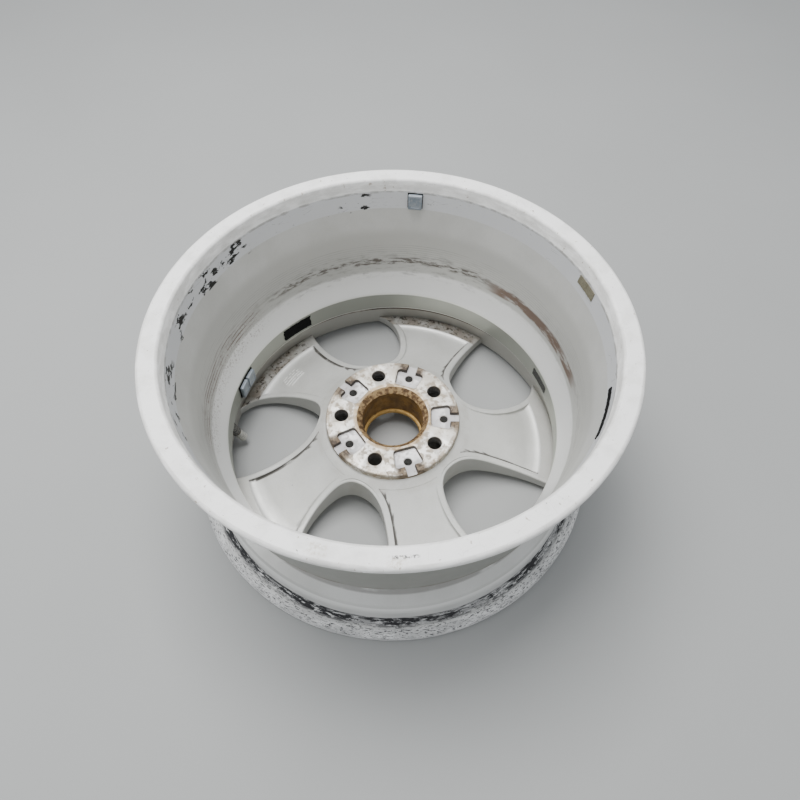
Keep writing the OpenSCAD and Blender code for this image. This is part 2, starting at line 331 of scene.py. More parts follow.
# %% [markdown]
# ## The valve hole
#
# The valve leans out of the slope of the drop centre. Its axis is given by the point
# where it crosses the slope and by its direction. A drilled hole and a flat round seat
# are cut along that axis, so the rubber has a flat face to sit on.

# %% Valve axis, hole and spot face
VALVE_ANGLE = 179
VALVE_LEAN = 25
VALVE_BASE = (189.5, -16.55)     # radius and height where the axis crosses the slope
VALVE_WALL = 4                   # metal left at the spot face
HOLE_R = 5.75
SPOT_R = 9.5

valve_place = (
    Matrix.Rotation(math.radians(VALVE_ANGLE), 4, "Z")
    @ Matrix.Translation((VALVE_BASE[0] * MM, 0, VALVE_BASE[1] * MM))
    @ Matrix.Rotation(math.radians(180 + VALVE_LEAN), 4, "Y")
)


def on_valve(piece):
    """Stand a piece that was turned round Z on the valve's axis."""
    piece.data.transform(valve_place)
    return piece


hole = [(0, -20), (HOLE_R, -20), (HOLE_R, VALVE_WALL - 0.4), (HOLE_R + 0.4, VALVE_WALL)]
hole += [(SPOT_R - 0.8, VALVE_WALL), (SPOT_R, VALVE_WALL + 0.8), (SPOT_R, 20), (0, 20)]
cut(barrel, on_valve(turned("valve_hole", hole, 64)))
settle(barrel)
print("barrel has", len(barrel.data.polygons), "faces")

# %% [markdown]
# ## The disc blank
#
# Hub and spokes start as one turned blank: a shallow cone behind, a raised round pad that
# meets the car's hub, the centre bore, and a slightly domed front. Windows, spoke pockets
# and holes are cut out of it afterwards, in the order in which the casting shows them.

# %% Section of the disc
BACK = [(JOINT_R, -47.6), (183.5, -46.4), (180, -45.9), (175, -45.5), (168, -44.5), (160, -43)]
BACK += [(150, -40.8), (140, -38.1), (130, -34.9), (120, -31.2), (110, -27.1), (100, -22.5)]
BACK += [(90, -17.4), (82, -13), (76.5, -9.8), (74.2, -8.9), (73.1, -7.8)]
PAD_R = 72.8
BORE_R = 33.3
CAP_SEAT_R = 30.5
hub = [(PAD_R, -6.8), (PAD_R, -0.9), (PAD_R - 0.9, 0), (39.3, 0), (BORE_R, -6)]
hub += [(BORE_R, -38), (31.3, -38), (CAP_SEAT_R, -38.8), (CAP_SEAT_R, -42), (32, -43.5)]
FRONT = [(64, -44.3), (80, -46.2), (100, -48.6), (120, -51), (140, -53.3), (160, -55.3)]
FRONT += [(175, -56.5), (JOINT_R, -57)]


def back_height(radius):
    """Height of the back of the disc at a radius, between the section's points."""
    for (r0, z0), (r1, z1) in zip(BACK, BACK[1:]):
        if r0 >= radius >= r1:
            return z0 + (z1 - z0) * (r0 - radius) / (r0 - r1)
    return BACK[0][1] if radius > BACK[0][0] else BACK[-1][1]


disc = turned("hub_and_spokes", eased(BACK + hub + FRONT, 0.8, 20), 240)
print("the back falls from %.1f to %.1f mm" % (back_height(80), back_height(180)))

# %% [markdown]
# ## Windows
#
# One window is a smooth closed outline, drawn as a curve through a few points, and it
# leans the same way on all five places. Its cutter is skinned from copies of that outline
# that grow towards the top, so that the metal is left with a rounded rim.

# %% Window outline
WINDOW_EDGE = [(-48, 205), (-47, 190), (-45.5, 172), (-41, 152), (-32.5, 128), (-20, 103.5)]
WINDOW_EDGE += [(-8, 90), (7, 82.6), (22, 81.3), (35, 88.5), (47.5, 107), (55.5, 130)]
WINDOW_EDGE += [(57.5, 150), (54.5, 166), (47, 178), (36, 190), (24, 205)]
CURVE_STEPS = 8


def window_curve(out):
    """The window's edge as (x, y), moved sideways by a distance; y points away from the axle."""
    points = []
    for i in range(1, len(WINDOW_EDGE) - 2):
        a, b, c, d = [Vector(p) for p in WINDOW_EDGE[i - 1:i + 3]]
        for k in range(CURVE_STEPS):
            t = k / CURVE_STEPS
            at = ((2 * b) + (c - a) * t + (2 * a - 5 * b + 4 * c - d) * t ** 2
                  + (3 * b - a - 3 * c + d) * t ** 3) / 2
            along = ((c - a) + 2 * (2 * a - 5 * b + 4 * c - d) * t
                     + 3 * (3 * b - a - 3 * c + d) * t ** 2) / 2
            at += Vector((along.y, -along.x)).normalized() * out
            points.append(at)
    points += [Vector((30, 215)), Vector((-40, 215))]
    return points


def window_ring(out, height_over_back):
    """A ring of points round a window; its height follows the back of the disc."""
    ring = []
    for edge, moved in zip(window_curve(0), window_curve(out)):
        ring.append((moved.x, moved.y, height_over_back(back_height(edge.length))))
    return ring


EDGE_ROUND = 1.8
rings = [window_ring(0, lambda z: -80.0), window_ring(0, lambda z: -58.0)]
for degrees in (0, 20, 40, 60, 75):
    a = math.radians(degrees)
    out = EDGE_ROUND * (1 - math.cos(a))
    drop = EDGE_ROUND * (1 - math.sin(a))
    rings.append(window_ring(out, lambda z, drop=drop: z - drop))
rings.append(window_ring(EDGE_ROUND * 1.6, lambda z: z + 0.5))
rings.append(window_ring(EDGE_ROUND * 1.6, lambda z: 20.0))
cutter = capped_skin("window_cutter", rings)
cutter = copies_round_hub(cutter, FIRST_WINDOW - 90)
cut(disc, cutter)
print("after the windows:", len(disc.data.polygons), "faces")

# %% [markdown]
# ## Spoke pockets
#
# Each spoke has a shallow panel, bordered by a raised band along both windows. The pocket
# cutter is a turned ring with the panel's floor, from which five guards are taken away.
# A guard is the window's outline again, wider by the band. It widens at its foot, which
# leaves a soft fillet along the floor.

# %% Pocket cutter
BAND = 7
POCKET_DEPTH = 3.4
POCKET_END_R = 169.2


def pocket_depth(radius):
    """The pocket fades in from the hub and is deepest from radius 160 outwards."""
    share = min(max((radius - 76) / (160 - 76), 0), 1)
    return 0.3 + (POCKET_DEPTH - 0.3) * share


floor = [(r, z - pocket_depth(r)) for r, z in reversed(BACK) if 77 < r <= 160]
floor += [(163.6, -46.1), (165.8, -45.9), (167.6, -45.3), (168.8, -44.4)]
floor += [(POCKET_END_R + 0.5, -43.2), (POCKET_END_R + 0.5, 10), (82, 10)]
pockets = turned("pocket_cutter", floor, 240)


def guard_ring(share, level):
    """One ring of a guard: share of the foot's fillet, and level from 0 (floor) to 1 (top)."""
    ring = []
    for edge, out in zip(window_curve(0), window_curve(BAND)):
        depth = pocket_depth(out.length)
        spread = min(1.6, depth * 0.5) * share
        normal = (out - edge).normalized()
        moved = out + normal * spread
        ring.append((moved.x, moved.y, back_height(moved.length) - depth * (1 - level)))
    return ring


guard = [[(x, y, -90.0) for x, y, z in guard_ring(1.3, 0)]]
guard += [guard_ring(1.3, -0.1), guard_ring(1.0, 0.0), guard_ring(0.55, 0.1), guard_ring(0.2, 0.27)]
guard += [guard_ring(0.0, 0.5), guard_ring(-0.05, 0.7), guard_ring(-0.25, 0.9), guard_ring(-0.55, 1.0)]
guard += [guard_ring(-0.9, 1.15)]
guard += [[(x, y, 30.0) for x, y, z in guard_ring(-0.9, 1.15)]]
guards = copies_round_hub(capped_skin("band_guard", guard), FIRST_WINDOW - 90)
cut(pockets, guards)
cut(disc, pockets)
print("after the pockets:", len(disc.data.polygons), "faces")

# %% [markdown]
# ## Holes in the hub
#
# Five bolt holes with a cone seat on the far side, and five casting pockets between them.
# Each pocket is a rounded wedge that is open to the pad's edge through a slot, with a
# small blind hole in its floor. Round cutters are turned, the wedge and the slot are
# skinned, and both get roundings at the top and at the foot.

# %% Bolt holes
bolt = [(0, 3), (8.6, 3), (8.4, 0.1), (7.8, -0.25), (7.4, -0.9), (7.4, -12)]
bolt += [(12.6, -21), (14.2, -21.2), (14.2, -60), (0, -60)]
cutter = turned("bolt_hole", bolt, 48)
cutter.data.transform(Matrix.Translation((BOLT_R * MM, 0, 0)))
cut(disc, copies_round_hub(cutter, FIRST_BOLT))
print("bolt circle of %.0f mm" % (2 * BOLT_R))

# %% Casting pockets in the pad
PAD_POCKET = [(42, -12), (63, -15.5), (63, 15.5), (42, 12)]
PAD_POCKET_DEPTH = 5


def rounded_outline(corners, radius, out, steps=6):
    """Corners rounded with arcs of a radius, the whole outline moved outwards."""
    centre = Vector((sum(c[0] for c in corners), sum(c[1] for c in corners))) / len(corners)
    outline = []
    for i, here in enumerate(corners):
        here = Vector(here)
        u = (Vector(corners[i - 1]) - here).normalized()
        v = (Vector(corners[(i + 1) % len(corners)]) - here).normalized()
        half = u.angle(v) / 2
        middle = here + (u + v).normalized() * radius / math.sin(half)
        first = here + u * radius / math.tan(half) - middle
        last = here + v * radius / math.tan(half) - middle
        for k in range(steps + 1):
            spoke = first.lerp(last, k / steps).normalized() * (radius + out)
            outline.append(middle + spoke)
    return outline


def pocket_rings(corners, radius, depth, top_round=0.7, foot_round=1.3):
    """Rings of a pocket cutter: wide above the metal, upright, and rounded at its foot."""
    steps = [(top_round + 0.4, 4.0), (top_round + 0.4, 0.3), (top_round * 0.7, -0.06)]
    steps += [(top_round * 0.3, -top_round * 0.3), (0, -top_round), (0, foot_round - depth)]
    steps += [(-foot_round * 0.3, foot_round * 0.3 - depth), (-foot_round, -depth)]
    rings = []
    for out, z in steps:
        rings.append([(p.x, p.y, z) for p in rounded_outline(corners, radius, out)])
    return rings


cutter = capped_skin("pad_pocket", pocket_rings(PAD_POCKET, 3.5, PAD_POCKET_DEPTH))
cut(disc, copies_round_hub(cutter, FIRST_BOLT - STEP / 2))
slot_corners = [(56, -5.5), (80, -5.5), (80, 5.5), (56, 5.5)]
cutter = capped_skin("pad_slot", pocket_rings(slot_corners, 2.2, PAD_POCKET_DEPTH - 0.05))
cut(disc, copies_round_hub(cutter, FIRST_BOLT - STEP / 2))
blind = [(0, 3), (5.2, 3), (5.2, -4.9), (4.3, -5.6), (4.3, -19.4), (3.7, -20), (0, -20)]
cutter = turned("blind_hole", blind, 32)
cutter.data.transform(Matrix.Translation((BOLT_R * MM, 0, 0)))
cut(disc, copies_round_hub(cutter, FIRST_BOLT - STEP / 2))
print("after the holes:", len(disc.data.polygons), "faces")

# %% [markdown]
# ## Cast marks on one spoke
#
# The casting die leaves a small field of raised lines on the floor of one pocket. Each
# line runs round the hub at its own radius. Some are whole and some are broken into
# dashes. A line is a low rounded outline, skinned along a few degrees and sunk slightly
# into the floor.

# %% Raised lines
def cast_line(radius, first, last):
    """A low rounded line on the pocket's floor, from angle first to last."""
    level = back_height(radius) - pocket_depth(radius)
    outline = [(-0.75, -0.7), (-0.6, 0.35), (-0.25, 0.75), (0.25, 0.75), (0.6, 0.35), (0.75, -0.7)]
    rings = []
    for k in range(7):
        angle = math.radians(first + (last - first) * k / 6)
        along, across = math.cos(angle), math.sin(angle)
        rings.append([((radius + x) * along, (radius + x) * across, level + z) for x, z in outline])
    piece = skin("cast_line", rings)
    bpy.ops.object.mode_set(mode="EDIT")
    bpy.ops.mesh.select_all(action="SELECT")
    bpy.ops.mesh.fill_holes(sides=0)
    bpy.ops.object.mode_set(mode="OBJECT")
    return tidy_mesh(piece)


CAST_LINES = [(140.5, 141.2, 150.6), (144.2, 141.0, 145.0), (144.2, 145.8, 151.6), (147.9, 141.4, 151.4)]
CAST_LINES += [(151.6, 141.0, 142.6), (151.6, 143.4, 145.2), (151.6, 146.0, 148.0), (151.6, 148.8, 150.8)]
CAST_LINES += [(155.3, 142.0, 143.6), (155.3, 144.4, 145.8), (155.3, 146.8, 150.0)]
pick(disc, *[cast_line(*line) for line in CAST_LINES])
bpy.context.view_layer.objects.active = disc
bpy.ops.object.join()
tidy_mesh(disc)
settle(disc, 32)
print("the finished disc has", len(disc.data.polygons), "faces")

# %% [markdown]
# ## Stuck-on pieces
#
# Balance weights and their tape follow the curve of the wall that they stick to. Each one
# is modelled flat, as if on a bench, and then wrapped: its length becomes an arc, its
# height follows the wall, and its thickness points towards the axle.

# %% Wrapping on a wall
def wall_radius(wall, height):
    """Radius of a wall, given by its top and bottom points, at a height."""
    (r0, z0), (r1, z1) = wall
    return r0 + (r1 - r0) * (height - z0) / (z1 - z0)


def wrap(piece, wall, degrees, height):
    """Wrap a flat piece (x along, y up, z off the wall, metres) round the axle."""
    for vertex in piece.data.vertices:
        along, up, off = vertex.co / MM
        radius = wall_radius(wall, height + up)
        angle = math.radians(degrees) - along / radius
        radius -= off
        vertex.co = Vector((radius * math.cos(angle), radius * math.sin(angle), height + up)) * MM
    return piece


def new_cube(name, size, centre):
    """A cube primitive of a given size in millimetres, with its size in the mesh."""
    clear_selection()
    bpy.ops.mesh.primitive_cube_add(size=1, location=(0, 0, 0))
    cube = bpy.context.object
    cube.name = name
    cube.data.name = name
    cube.data.transform(Matrix.Diagonal((*[s * MM for s in size], 1)))
    cube.data.transform(Matrix.Translation(Vector(centre) * MM))
    return cube


print("ledge radius at -10 mm: %.1f" % wall_radius(LEDGE, -10))

# %% [markdown]
# ## Balance weights
#
# An adhesive weight is a small pressed block of zinc with soft edges and a shallow field
# in its face. The cube is bevelled, its face is inset and pushed in, and four cuts along
# its length let it bend with the wall.

# %% Weights
TAPE_T = 0.8
WEIGHT_T = 4


def weight(name, wall, first, last, low, high):
    """One block from angle first to last and from height low to high."""
    radius = wall_radius(wall, (low + high) / 2)
    long = math.radians(last - first) * radius
    tall = high - low
    block = new_cube(name + "_block", (long, tall, WEIGHT_T), (0, 0, TAPE_T + WEIGHT_T / 2))
    bpy.ops.object.mode_set(mode="EDIT")
    bpy.ops.mesh.select_all(action="SELECT")
    bpy.ops.mesh.bevel(offset=0.9 * MM, segments=3)
    bpy.ops.mesh.select_all(action="DESELECT")
    mesh = bmesh.from_edit_mesh(block.data)
    face = max(mesh.faces, key=lambda f: f.normal.z * f.calc_area())
    face.select = True
    bmesh.update_edit_mesh(block.data)
    bpy.ops.mesh.inset(thickness=1.6 * MM, depth=0)
    bpy.ops.mesh.inset(thickness=0.35 * MM, depth=-0.35 * MM)
    for share in (-0.3, -0.15, 0, 0.15, 0.3):
        bpy.ops.mesh.select_all(action="SELECT")
        bpy.ops.mesh.bisect(plane_co=(share * long * MM, 0, 0), plane_no=(1, 0, 0))
    bpy.ops.object.mode_set(mode="OBJECT")
    wrap(block, wall, (first + last) / 2, (low + high) / 2)
    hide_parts(name)
    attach(settle(block, 40), "wheel")
    return block


weights = [
    weight("weight_single", STRIP, 80.6, 85, 120.6, 137),
    weight("weight_pair_first", LEDGE, 158.2, 162.9, -19, -0.6),
    weight("weight_pair_second", LEDGE, 163.3, 168, -19, -0.6),
]
print("weights:", [w.name for w in weights])

# %% [markdown]
# ## Tape, whole and torn
#
# Under each weight there is foam tape. Where an old weight has been pulled off, a torn
# pad stays behind: ragged at its edge, thick in some spots and thin in others. A fine
# grid is extruded into a sheet. Its edge is pulled in by noise, and its face is lowered
# by noise, so no two pads look the same.

# %% Tapes
def tape(name, wall, first, last, low, high, thickness, ragged, seed):
    """A sheet of tape; ragged is how far its edge may be torn in, in millimetres."""
    radius = wall_radius(wall, (low + high) / 2)
    long = math.radians(last - first) * radius
    tall = high - low
    clear_selection()
    bpy.ops.mesh.primitive_grid_add(x_subdivisions=int(long / 0.7), y_subdivisions=int(tall / 0.7))
    sheet = bpy.context.object
    sheet.name = name + "_sheet"
    sheet.data.name = sheet.name
    half = max(v.co.x for v in sheet.data.vertices)
    scale = Matrix.Diagonal((long / 2 / half * MM, tall / 2 / half * MM, 1, 1))
    sheet.data.transform(scale)
    bpy.ops.object.mode_set(mode="EDIT")
    bpy.ops.mesh.select_all(action="SELECT")
    bpy.ops.mesh.extrude_region_move(TRANSFORM_OT_translate={"value": (0, 0, thickness * MM)})
    bpy.ops.mesh.select_all(action="SELECT")
    bpy.ops.mesh.normals_make_consistent(inside=False)
    bpy.ops.object.mode_set(mode="OBJECT")
    for vertex in sheet.data.vertices:
        x, y, off = vertex.co / MM
        where = Vector((x * 0.22, y * 0.22, seed))
        fine = Vector((x * 0.9, y * 0.9, seed + 5))
        tear = ragged * (0.5 + 0.5 * noise.noise(where)) + 0.25 * ragged * noise.noise(fine)
        tear = min(max(tear, 0), long / 3, tall / 3)
        x *= 1 - tear / (long / 2)
        y *= 1 - tear / (tall / 2)
        if off > 0:
            off *= 1 - (0.55 if ragged > 0.5 else 0.12) * abs(noise.noise(fine * 0.8))
        vertex.co = Vector((x, y, off)) * MM
    wrap(sheet, wall, (first + last) / 2, (low + high) / 2)
    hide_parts(name)
    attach(settle(sheet, 50), "wheel")
    return sheet


tapes = [
    tape("weight_single_tape", STRIP, 80.4, 85.3, 120.2, 137.6, TAPE_T, 0.25, 1),
    tape("weight_pair_tape", LEDGE, 157.9, 168.4, -19.4, 0.8, TAPE_T, 0.25, 2),
    tape("tape_remnant_black", LEDGE, 125, 138.4, -18, 1.4, TAPE_T, 2.2, 3),
    tape("tape_remnant_grey", LEDGE, 12.6, 22.9, -15, -2.6, TAPE_T, 1.6, 4),
    tape("tape_remnant_olive", STRIP, 14.4, 22.6, 127, 137.2, TAPE_T, 0.8, 5),
    tape("tape_remnant_edge", STRIP, -31, -14.5, 122, 131, TAPE_T, 2.6, 6),
]
print("tapes:", [t.name for t in tapes])

# %% [markdown]
# ## The tyre valve
#
# A snap-in valve is a brass stem in a rubber body. The body bulges behind the rim wall,
# has a groove that holds the wall, and tapers to a thin lip round the stem. The stem's
# outside is threaded, and the cap on it is ribbed for the fingers. All three are turned,
# and the cap's ribs are left standing between sixteen round flutes.

# %% Rubber body
STEM_R = 3.85
rubber = [(STEM_R - 0.6, -3), (4.6, -6.5), (7.2, -6.5)] + arc((7.2, -4.1), 2.4, -60, 10, 5)
rubber += [(9.6, -0.8), (8.8, 0), (HOLE_R, 0), (HOLE_R, VALVE_WALL), (7.6, VALVE_WALL), (7.6, 7)]
rubber += [(6.6, 12), (6.75, 12.3), (6.75, 12.9), (6.5, 13.2), (6, 17), (5.7, 22), (5.5, 25)]
rubber += [(4.9, 26), (STEM_R, 26), (STEM_R, 23), (STEM_R - 0.6, 22.4)]
valve_rubber = settle(on_valve(turned("valve_rubber_turned", eased(rubber, 0.5), 64)))
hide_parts("valve_rubber_body")
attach(valve_rubber, "wheel")
print("rubber body has", len(valve_rubber.data.polygons), "faces")

# %% Threaded stem
STEM_END = 36.5
PITCH = 0.794
thread = []
height = 26.6
while height < STEM_END - 1.2:
    thread += [(STEM_R - 0.35, height), (STEM_R, height + PITCH * 0.45)]
    height += PITCH
stem = [(1.8, -3), (STEM_R - 0.6, -3), (STEM_R - 0.6, 22.4), (STEM_R, 23), (STEM_R, 26.2)] + thread
stem += [(STEM_R - 0.35, STEM_END - 1), (STEM_R - 0.6, STEM_END), (3, STEM_END), (2.6, STEM_END - 0.4)]
stem += [(2.6, 28.5), (1.8, 26.5)]
valve_stem = settle(on_valve(turned("valve_stem_turned", stem, 48)), 25)
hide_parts("valve_stem")
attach(valve_stem, "wheel")
print("thread ridges:", len(thread) // 2)

# %% Cap
CAP_R = 4.9
CAP_FOOT = 27
CAP_TOP = 39.5
FLUTES = 16
cap = [(STEM_R + 0.06, CAP_FOOT), (CAP_R - 0.3, CAP_FOOT), (CAP_R, CAP_FOOT + 0.4)]
cap += arc((CAP_R - 1.3, CAP_TOP - 1.3), 1.3, 0, 90, 6)
cap += [(0, CAP_TOP), (0, 37.6), (STEM_R + 0.06, 37.6)]
valve_cap = turned("valve_cap_turned", cap, 96)
flute_profile = [(0, 28.5), (0.35, 28.6), (0.7, 29.2), (0.7, 35.9), (0.35, 36.4), (0, 36.5)]
flute = turned("flute", flute_profile, 16)
flute.data.transform(Matrix.Translation(((CAP_R + 0.3) * MM, 0, 0)))
flutes = [flute]
for k in range(1, FLUTES):
    copy = flute.copy()
    copy.data = flute.data.copy()
    copy.data.transform(Matrix.Rotation(k * TURN / FLUTES, 4, "Z"))
    bpy.context.scene.collection.objects.link(copy)
    flutes.append(copy)
pick(*flutes)
bpy.ops.object.join()
cut(valve_cap, bpy.context.object)
settle(on_valve(valve_cap))
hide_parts("valve_cap")
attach(valve_cap, "cap_turn")
print("cap has", FLUTES, "flutes")

# %% [markdown]
# ## Joining the new pieces to the frame
#
# The barrel and the disc stand in for their plain twins and ride on the wheel's body.

# %% Barrel and disc ride on the wheel
for piece, node in ((barrel, "rim_barrel"), (disc, "wheel_disc")):
    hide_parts(node)
    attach(piece, "wheel")
print("replaced:", barrel.name, disc.name)

# %% [markdown]
# ## Writing materials in nodes
#
# Every finish is a small graph of nodes. A few helpers keep the graphs short: one adds a
# node and sets its inputs, one does arithmetic, one lays a colour over another through a
# mask. An input can be a number or the output of another node.

# %% Node helpers
def put(tree, kind, inputs=None, **settings):
    """Add a node, set its settings, then set or connect its inputs by name or number."""
    node = tree.nodes.new(kind)
    for key, value in settings.items():
        setattr(node, key, value)
    for key, value in (inputs or {}).items():
        socket = node.inputs[key]
        if isinstance(value, bpy.types.NodeSocket):
            tree.links.new(value, socket)
        else:
            socket.default_value = value
    return node


def maths(tree, operation, first, second=0.0, third=0.0, clamp=False):
    node = put(tree, "ShaderNodeMath", {0: first, 1: second, 2: third}, operation=operation, use_clamp=clamp)
    return node.outputs[0]


def ramp(tree, value, start, end, low=0.0, high=1.0):
    """A soft step: low before start, high after end."""
    inputs = {"Value": value, "From Min": start, "From Max": end, "To Min": low, "To Max": high}
    return put(tree, "ShaderNodeMapRange", inputs, interpolation_type="SMOOTHSTEP").outputs["Result"]


def over(tree, mask, under, top):
    """The colour top laid over the colour under, where the mask is 1."""
    node = put(tree, "ShaderNodeMix", data_type="RGBA", blend_type="MIX", clamp_factor=True)
    for socket, value in ((node.inputs[0], mask), (node.inputs[6], under), (node.inputs[7], top)):
        if isinstance(value, bpy.types.NodeSocket):
            tree.links.new(value, socket)
        else:
            socket.default_value = value
    return node.outputs[2]


def both(tree, *masks):
    """The product of several masks."""
    result = masks[0]
    for mask in masks[1:]:
        result = maths(tree, "MULTIPLY", result, mask)
    return result


def tone(red, green, blue):
    return (red, green, blue, 1.0)


print("node helpers ready")

# %% [markdown]
# ## Shared effects as node groups
#
# Dirt on a wheel follows the wheel: it lies in rings, collects in grooves and gathers
# round the slots. So the first group turns a place into a radius, a height and an angle.
# The others make patches, grain and scratches from noise. They are built once, and each
# material sets its own scales.

# %% Making a group
def new_group(name, inputs, outputs):
    """An empty node group with named float or vector sockets; returns its tree and two end nodes."""
    group = bpy.data.node_groups.new(name, "ShaderNodeTree")
    for socket, kind, value in inputs:
        made = group.interface.new_socket(socket, in_out="INPUT", socket_type=kind)
        if kind == "NodeSocketFloat":
            made.default_value = value
    for socket, kind in outputs:
        group.interface.new_socket(socket, in_out="OUTPUT", socket_type=kind)
    return group, group.nodes.new("NodeGroupInput"), group.nodes.new("NodeGroupOutput")


def use(tree, group, **inputs):
    """Place a group in a material; spaces in input names are written as underscores."""
    node = tree.nodes.new("ShaderNodeGroup")
    node.node_tree = group
    for key, value in inputs.items():
        socket = node.inputs[key.replace("_", " ")]
        if isinstance(value, bpy.types.NodeSocket):
            tree.links.new(value, socket)
        else:
            socket.default_value = value
    return node.outputs


FLOAT = "NodeSocketFloat"
VECTOR = "NodeSocketVector"
print("groups have", FLOAT, "and", VECTOR, "sockets")

# %% Where on the wheel
wheel_place, start, end = new_group(
    "where_on_wheel", [],
    [("Point", VECTOR), ("Radius", FLOAT), ("Height", FLOAT), ("Angle", FLOAT),
     ("Inward", FLOAT), ("Up", FLOAT), ("Drawn", VECTOR)],
)
coords = put(wheel_place, "ShaderNodeTexCoord").outputs["Object"]
point = put(wheel_place, "ShaderNodeVectorMath", {0: coords, 1: (1000, 1000, 1000)}, operation="MULTIPLY")
parts = put(wheel_place, "ShaderNodeSeparateXYZ", {0: point.outputs[0]}).outputs
flat = put(wheel_place, "ShaderNodeCombineXYZ", {0: parts[0], 1: parts[1]}).outputs[0]
radius = put(wheel_place, "ShaderNodeVectorMath", {0: flat}, operation="LENGTH").outputs["Value"]
angle = maths(wheel_place, "ARCTAN2", parts[1], parts[0])
degrees = maths(wheel_place, "MULTIPLY", angle, 180 / math.pi)
outwards = put(wheel_place, "ShaderNodeVectorMath", {0: flat}, operation="NORMALIZE").outputs[0]
normal = put(wheel_place, "ShaderNodeNewGeometry").outputs["True Normal"]
facing = put(wheel_place, "ShaderNodeVectorMath", {0: normal, 1: outwards}, operation="DOT_PRODUCT")
inward = ramp(wheel_place, facing.outputs["Value"], 0.1, -0.2)
upness = put(wheel_place, "ShaderNodeSeparateXYZ", {0: normal}).outputs[2]
# Drawn is a point whose noise is drawn out round the wheel: it turns on a short radius of
# 50 mm, and its third coordinate runs along the section.
short = put(wheel_place, "ShaderNodeVectorMath", {0: outwards, 1: (50, 50, 50)}, operation="MULTIPLY")
short = put(wheel_place, "ShaderNodeSeparateXYZ", {0: short.outputs[0]}).outputs
along = maths(wheel_place, "SUBTRACT", radius, parts[2])
drawn = put(wheel_place, "ShaderNodeCombineXYZ", {0: short[0], 1: short[1], 2: along}).outputs[0]
for i, socket in enumerate((point.outputs[0], radius, parts[2], degrees, inward, upness, drawn)):
    wheel_place.links.new(socket, end.inputs[i])
print("group:", wheel_place.name)

# %% Patches: noise cut off at a level, so that it covers a share of the surface
patches, start, end = new_group(
    "patches",
    [("Point", VECTOR, None), ("Scale", FLOAT, 0.1), ("Flatten", FLOAT, 1.0), ("Cover", FLOAT, 0.5),
     ("Blur", FLOAT, 0.05), ("Detail", FLOAT, 6.0), ("Seed", FLOAT, 0.0)],
    [("Mask", FLOAT)],
)
squash = put(patches, "ShaderNodeCombineXYZ", {0: 1.0, 1: 1.0, 2: start.outputs["Flatten"]}).outputs[0]
spread = put(patches, "ShaderNodeVectorMath", {0: start.outputs["Point"], 1: squash}, operation="MULTIPLY")
seed = start.outputs["Seed"]
shift = put(patches, "ShaderNodeVectorMath", {0: spread.outputs[0], 1: seed}, operation="ADD")
cloud = put(patches, "ShaderNodeTexNoise", {
    "Vector": shift.outputs[0], "Scale": start.outputs["Scale"], "Detail": start.outputs["Detail"],
    "Roughness": 0.62,
}).outputs["Fac"]
level = maths(patches, "SUBTRACT", 1.0, start.outputs["Cover"])
first = maths(patches, "SUBTRACT", level, start.outputs["Blur"])
last = maths(patches, "ADD", level, start.outputs["Blur"])
patches.links.new(ramp(patches, cloud, first, last), end.inputs[0])
print("group:", patches.name)

# %% Belt: a soft band of a value between two limits
belt, start, end = new_group(
    "belt",
    [("Value", FLOAT, 0.0), ("From", FLOAT, 0.0), ("To", FLOAT, 1.0), ("Blur", FLOAT, 0.1)],
    [("Mask", FLOAT)],
)
lower = maths(belt, "SUBTRACT", start.outputs["From"], start.outputs["Blur"])
upper = maths(belt, "ADD", start.outputs["To"], start.outputs["Blur"])
rise = ramp(belt, start.outputs["Value"], lower, start.outputs["From"])
fall = ramp(belt, start.outputs["Value"], start.outputs["To"], upper, 1.0, 0.0)
belt.links.new(both(belt, rise, fall), end.inputs[0])
print("group:", belt.name)

# %% Scratches: thin broken lines, from the edges of stretched cells
scratches, start, end = new_group(
    "scratches",
    [("Point", VECTOR, None), ("Scale", FLOAT, 0.1), ("Flatten", FLOAT, 1.0), ("Width", FLOAT, 0.02),
     ("Cover", FLOAT, 0.45)],
    [("Mask", FLOAT)],
)
squash = put(scratches, "ShaderNodeCombineXYZ", {0: 1.0, 1: 1.0, 2: start.outputs["Flatten"]}).outputs[0]
spread = put(scratches, "ShaderNodeVectorMath", {0: start.outputs["Point"], 1: squash}, operation="MULTIPLY")
cells = put(scratches, "ShaderNodeTexVoronoi", {
    "Vector": spread.outputs[0], "Scale": start.outputs["Scale"], "Randomness": 1.0,
}, feature="DISTANCE_TO_EDGE").outputs["Distance"]
line = ramp(scratches, cells, start.outputs["Width"], 0.0)
broken = use(scratches, patches, Point=start.outputs["Point"], Scale=0.06, Cover=start.outputs["Cover"],
             Blur=0.03)["Mask"]
scratches.links.new(both(scratches, line, broken), end.inputs[0])
print("group:", scratches.name)

# %% Grain: the fine skin of cast metal under paint
grain, start, end = new_group(
    "grain", [("Point", VECTOR, None), ("Coarse", FLOAT, 0.3), ("Fine", FLOAT, 1.6)], [("Height", FLOAT)],
)
coarse = put(grain, "ShaderNodeTexNoise", {
    "Vector": start.outputs["Point"], "Scale": start.outputs["Coarse"], "Detail": 3.0}).outputs["Fac"]
fine = put(grain, "ShaderNodeTexNoise", {
    "Vector": start.outputs["Point"], "Scale": start.outputs["Fine"], "Detail": 4.0}).outputs["Fac"]
grain.links.new(maths(grain, "MULTIPLY_ADD", fine, 0.45, coarse), end.inputs[0])
print("group:", grain.name)


# %% A blank material
def new_material(name):
    material = bpy.data.materials.new(name)
    material.use_nodes = True
    tree = material.node_tree
    return material, tree, tree.nodes["Principled BSDF"]


def bump(tree, shader, height, strength, distance):
    """Height in millimetres of relief."""
    node = put(tree, "ShaderNodeBump", {"Height": height, "Strength": strength, "Distance": distance * MM})
    tree.links.new(node.outputs[0], shader.inputs["Normal"])


def dress(piece, material):
    piece.data.materials.clear()
    piece.data.materials.append(material)


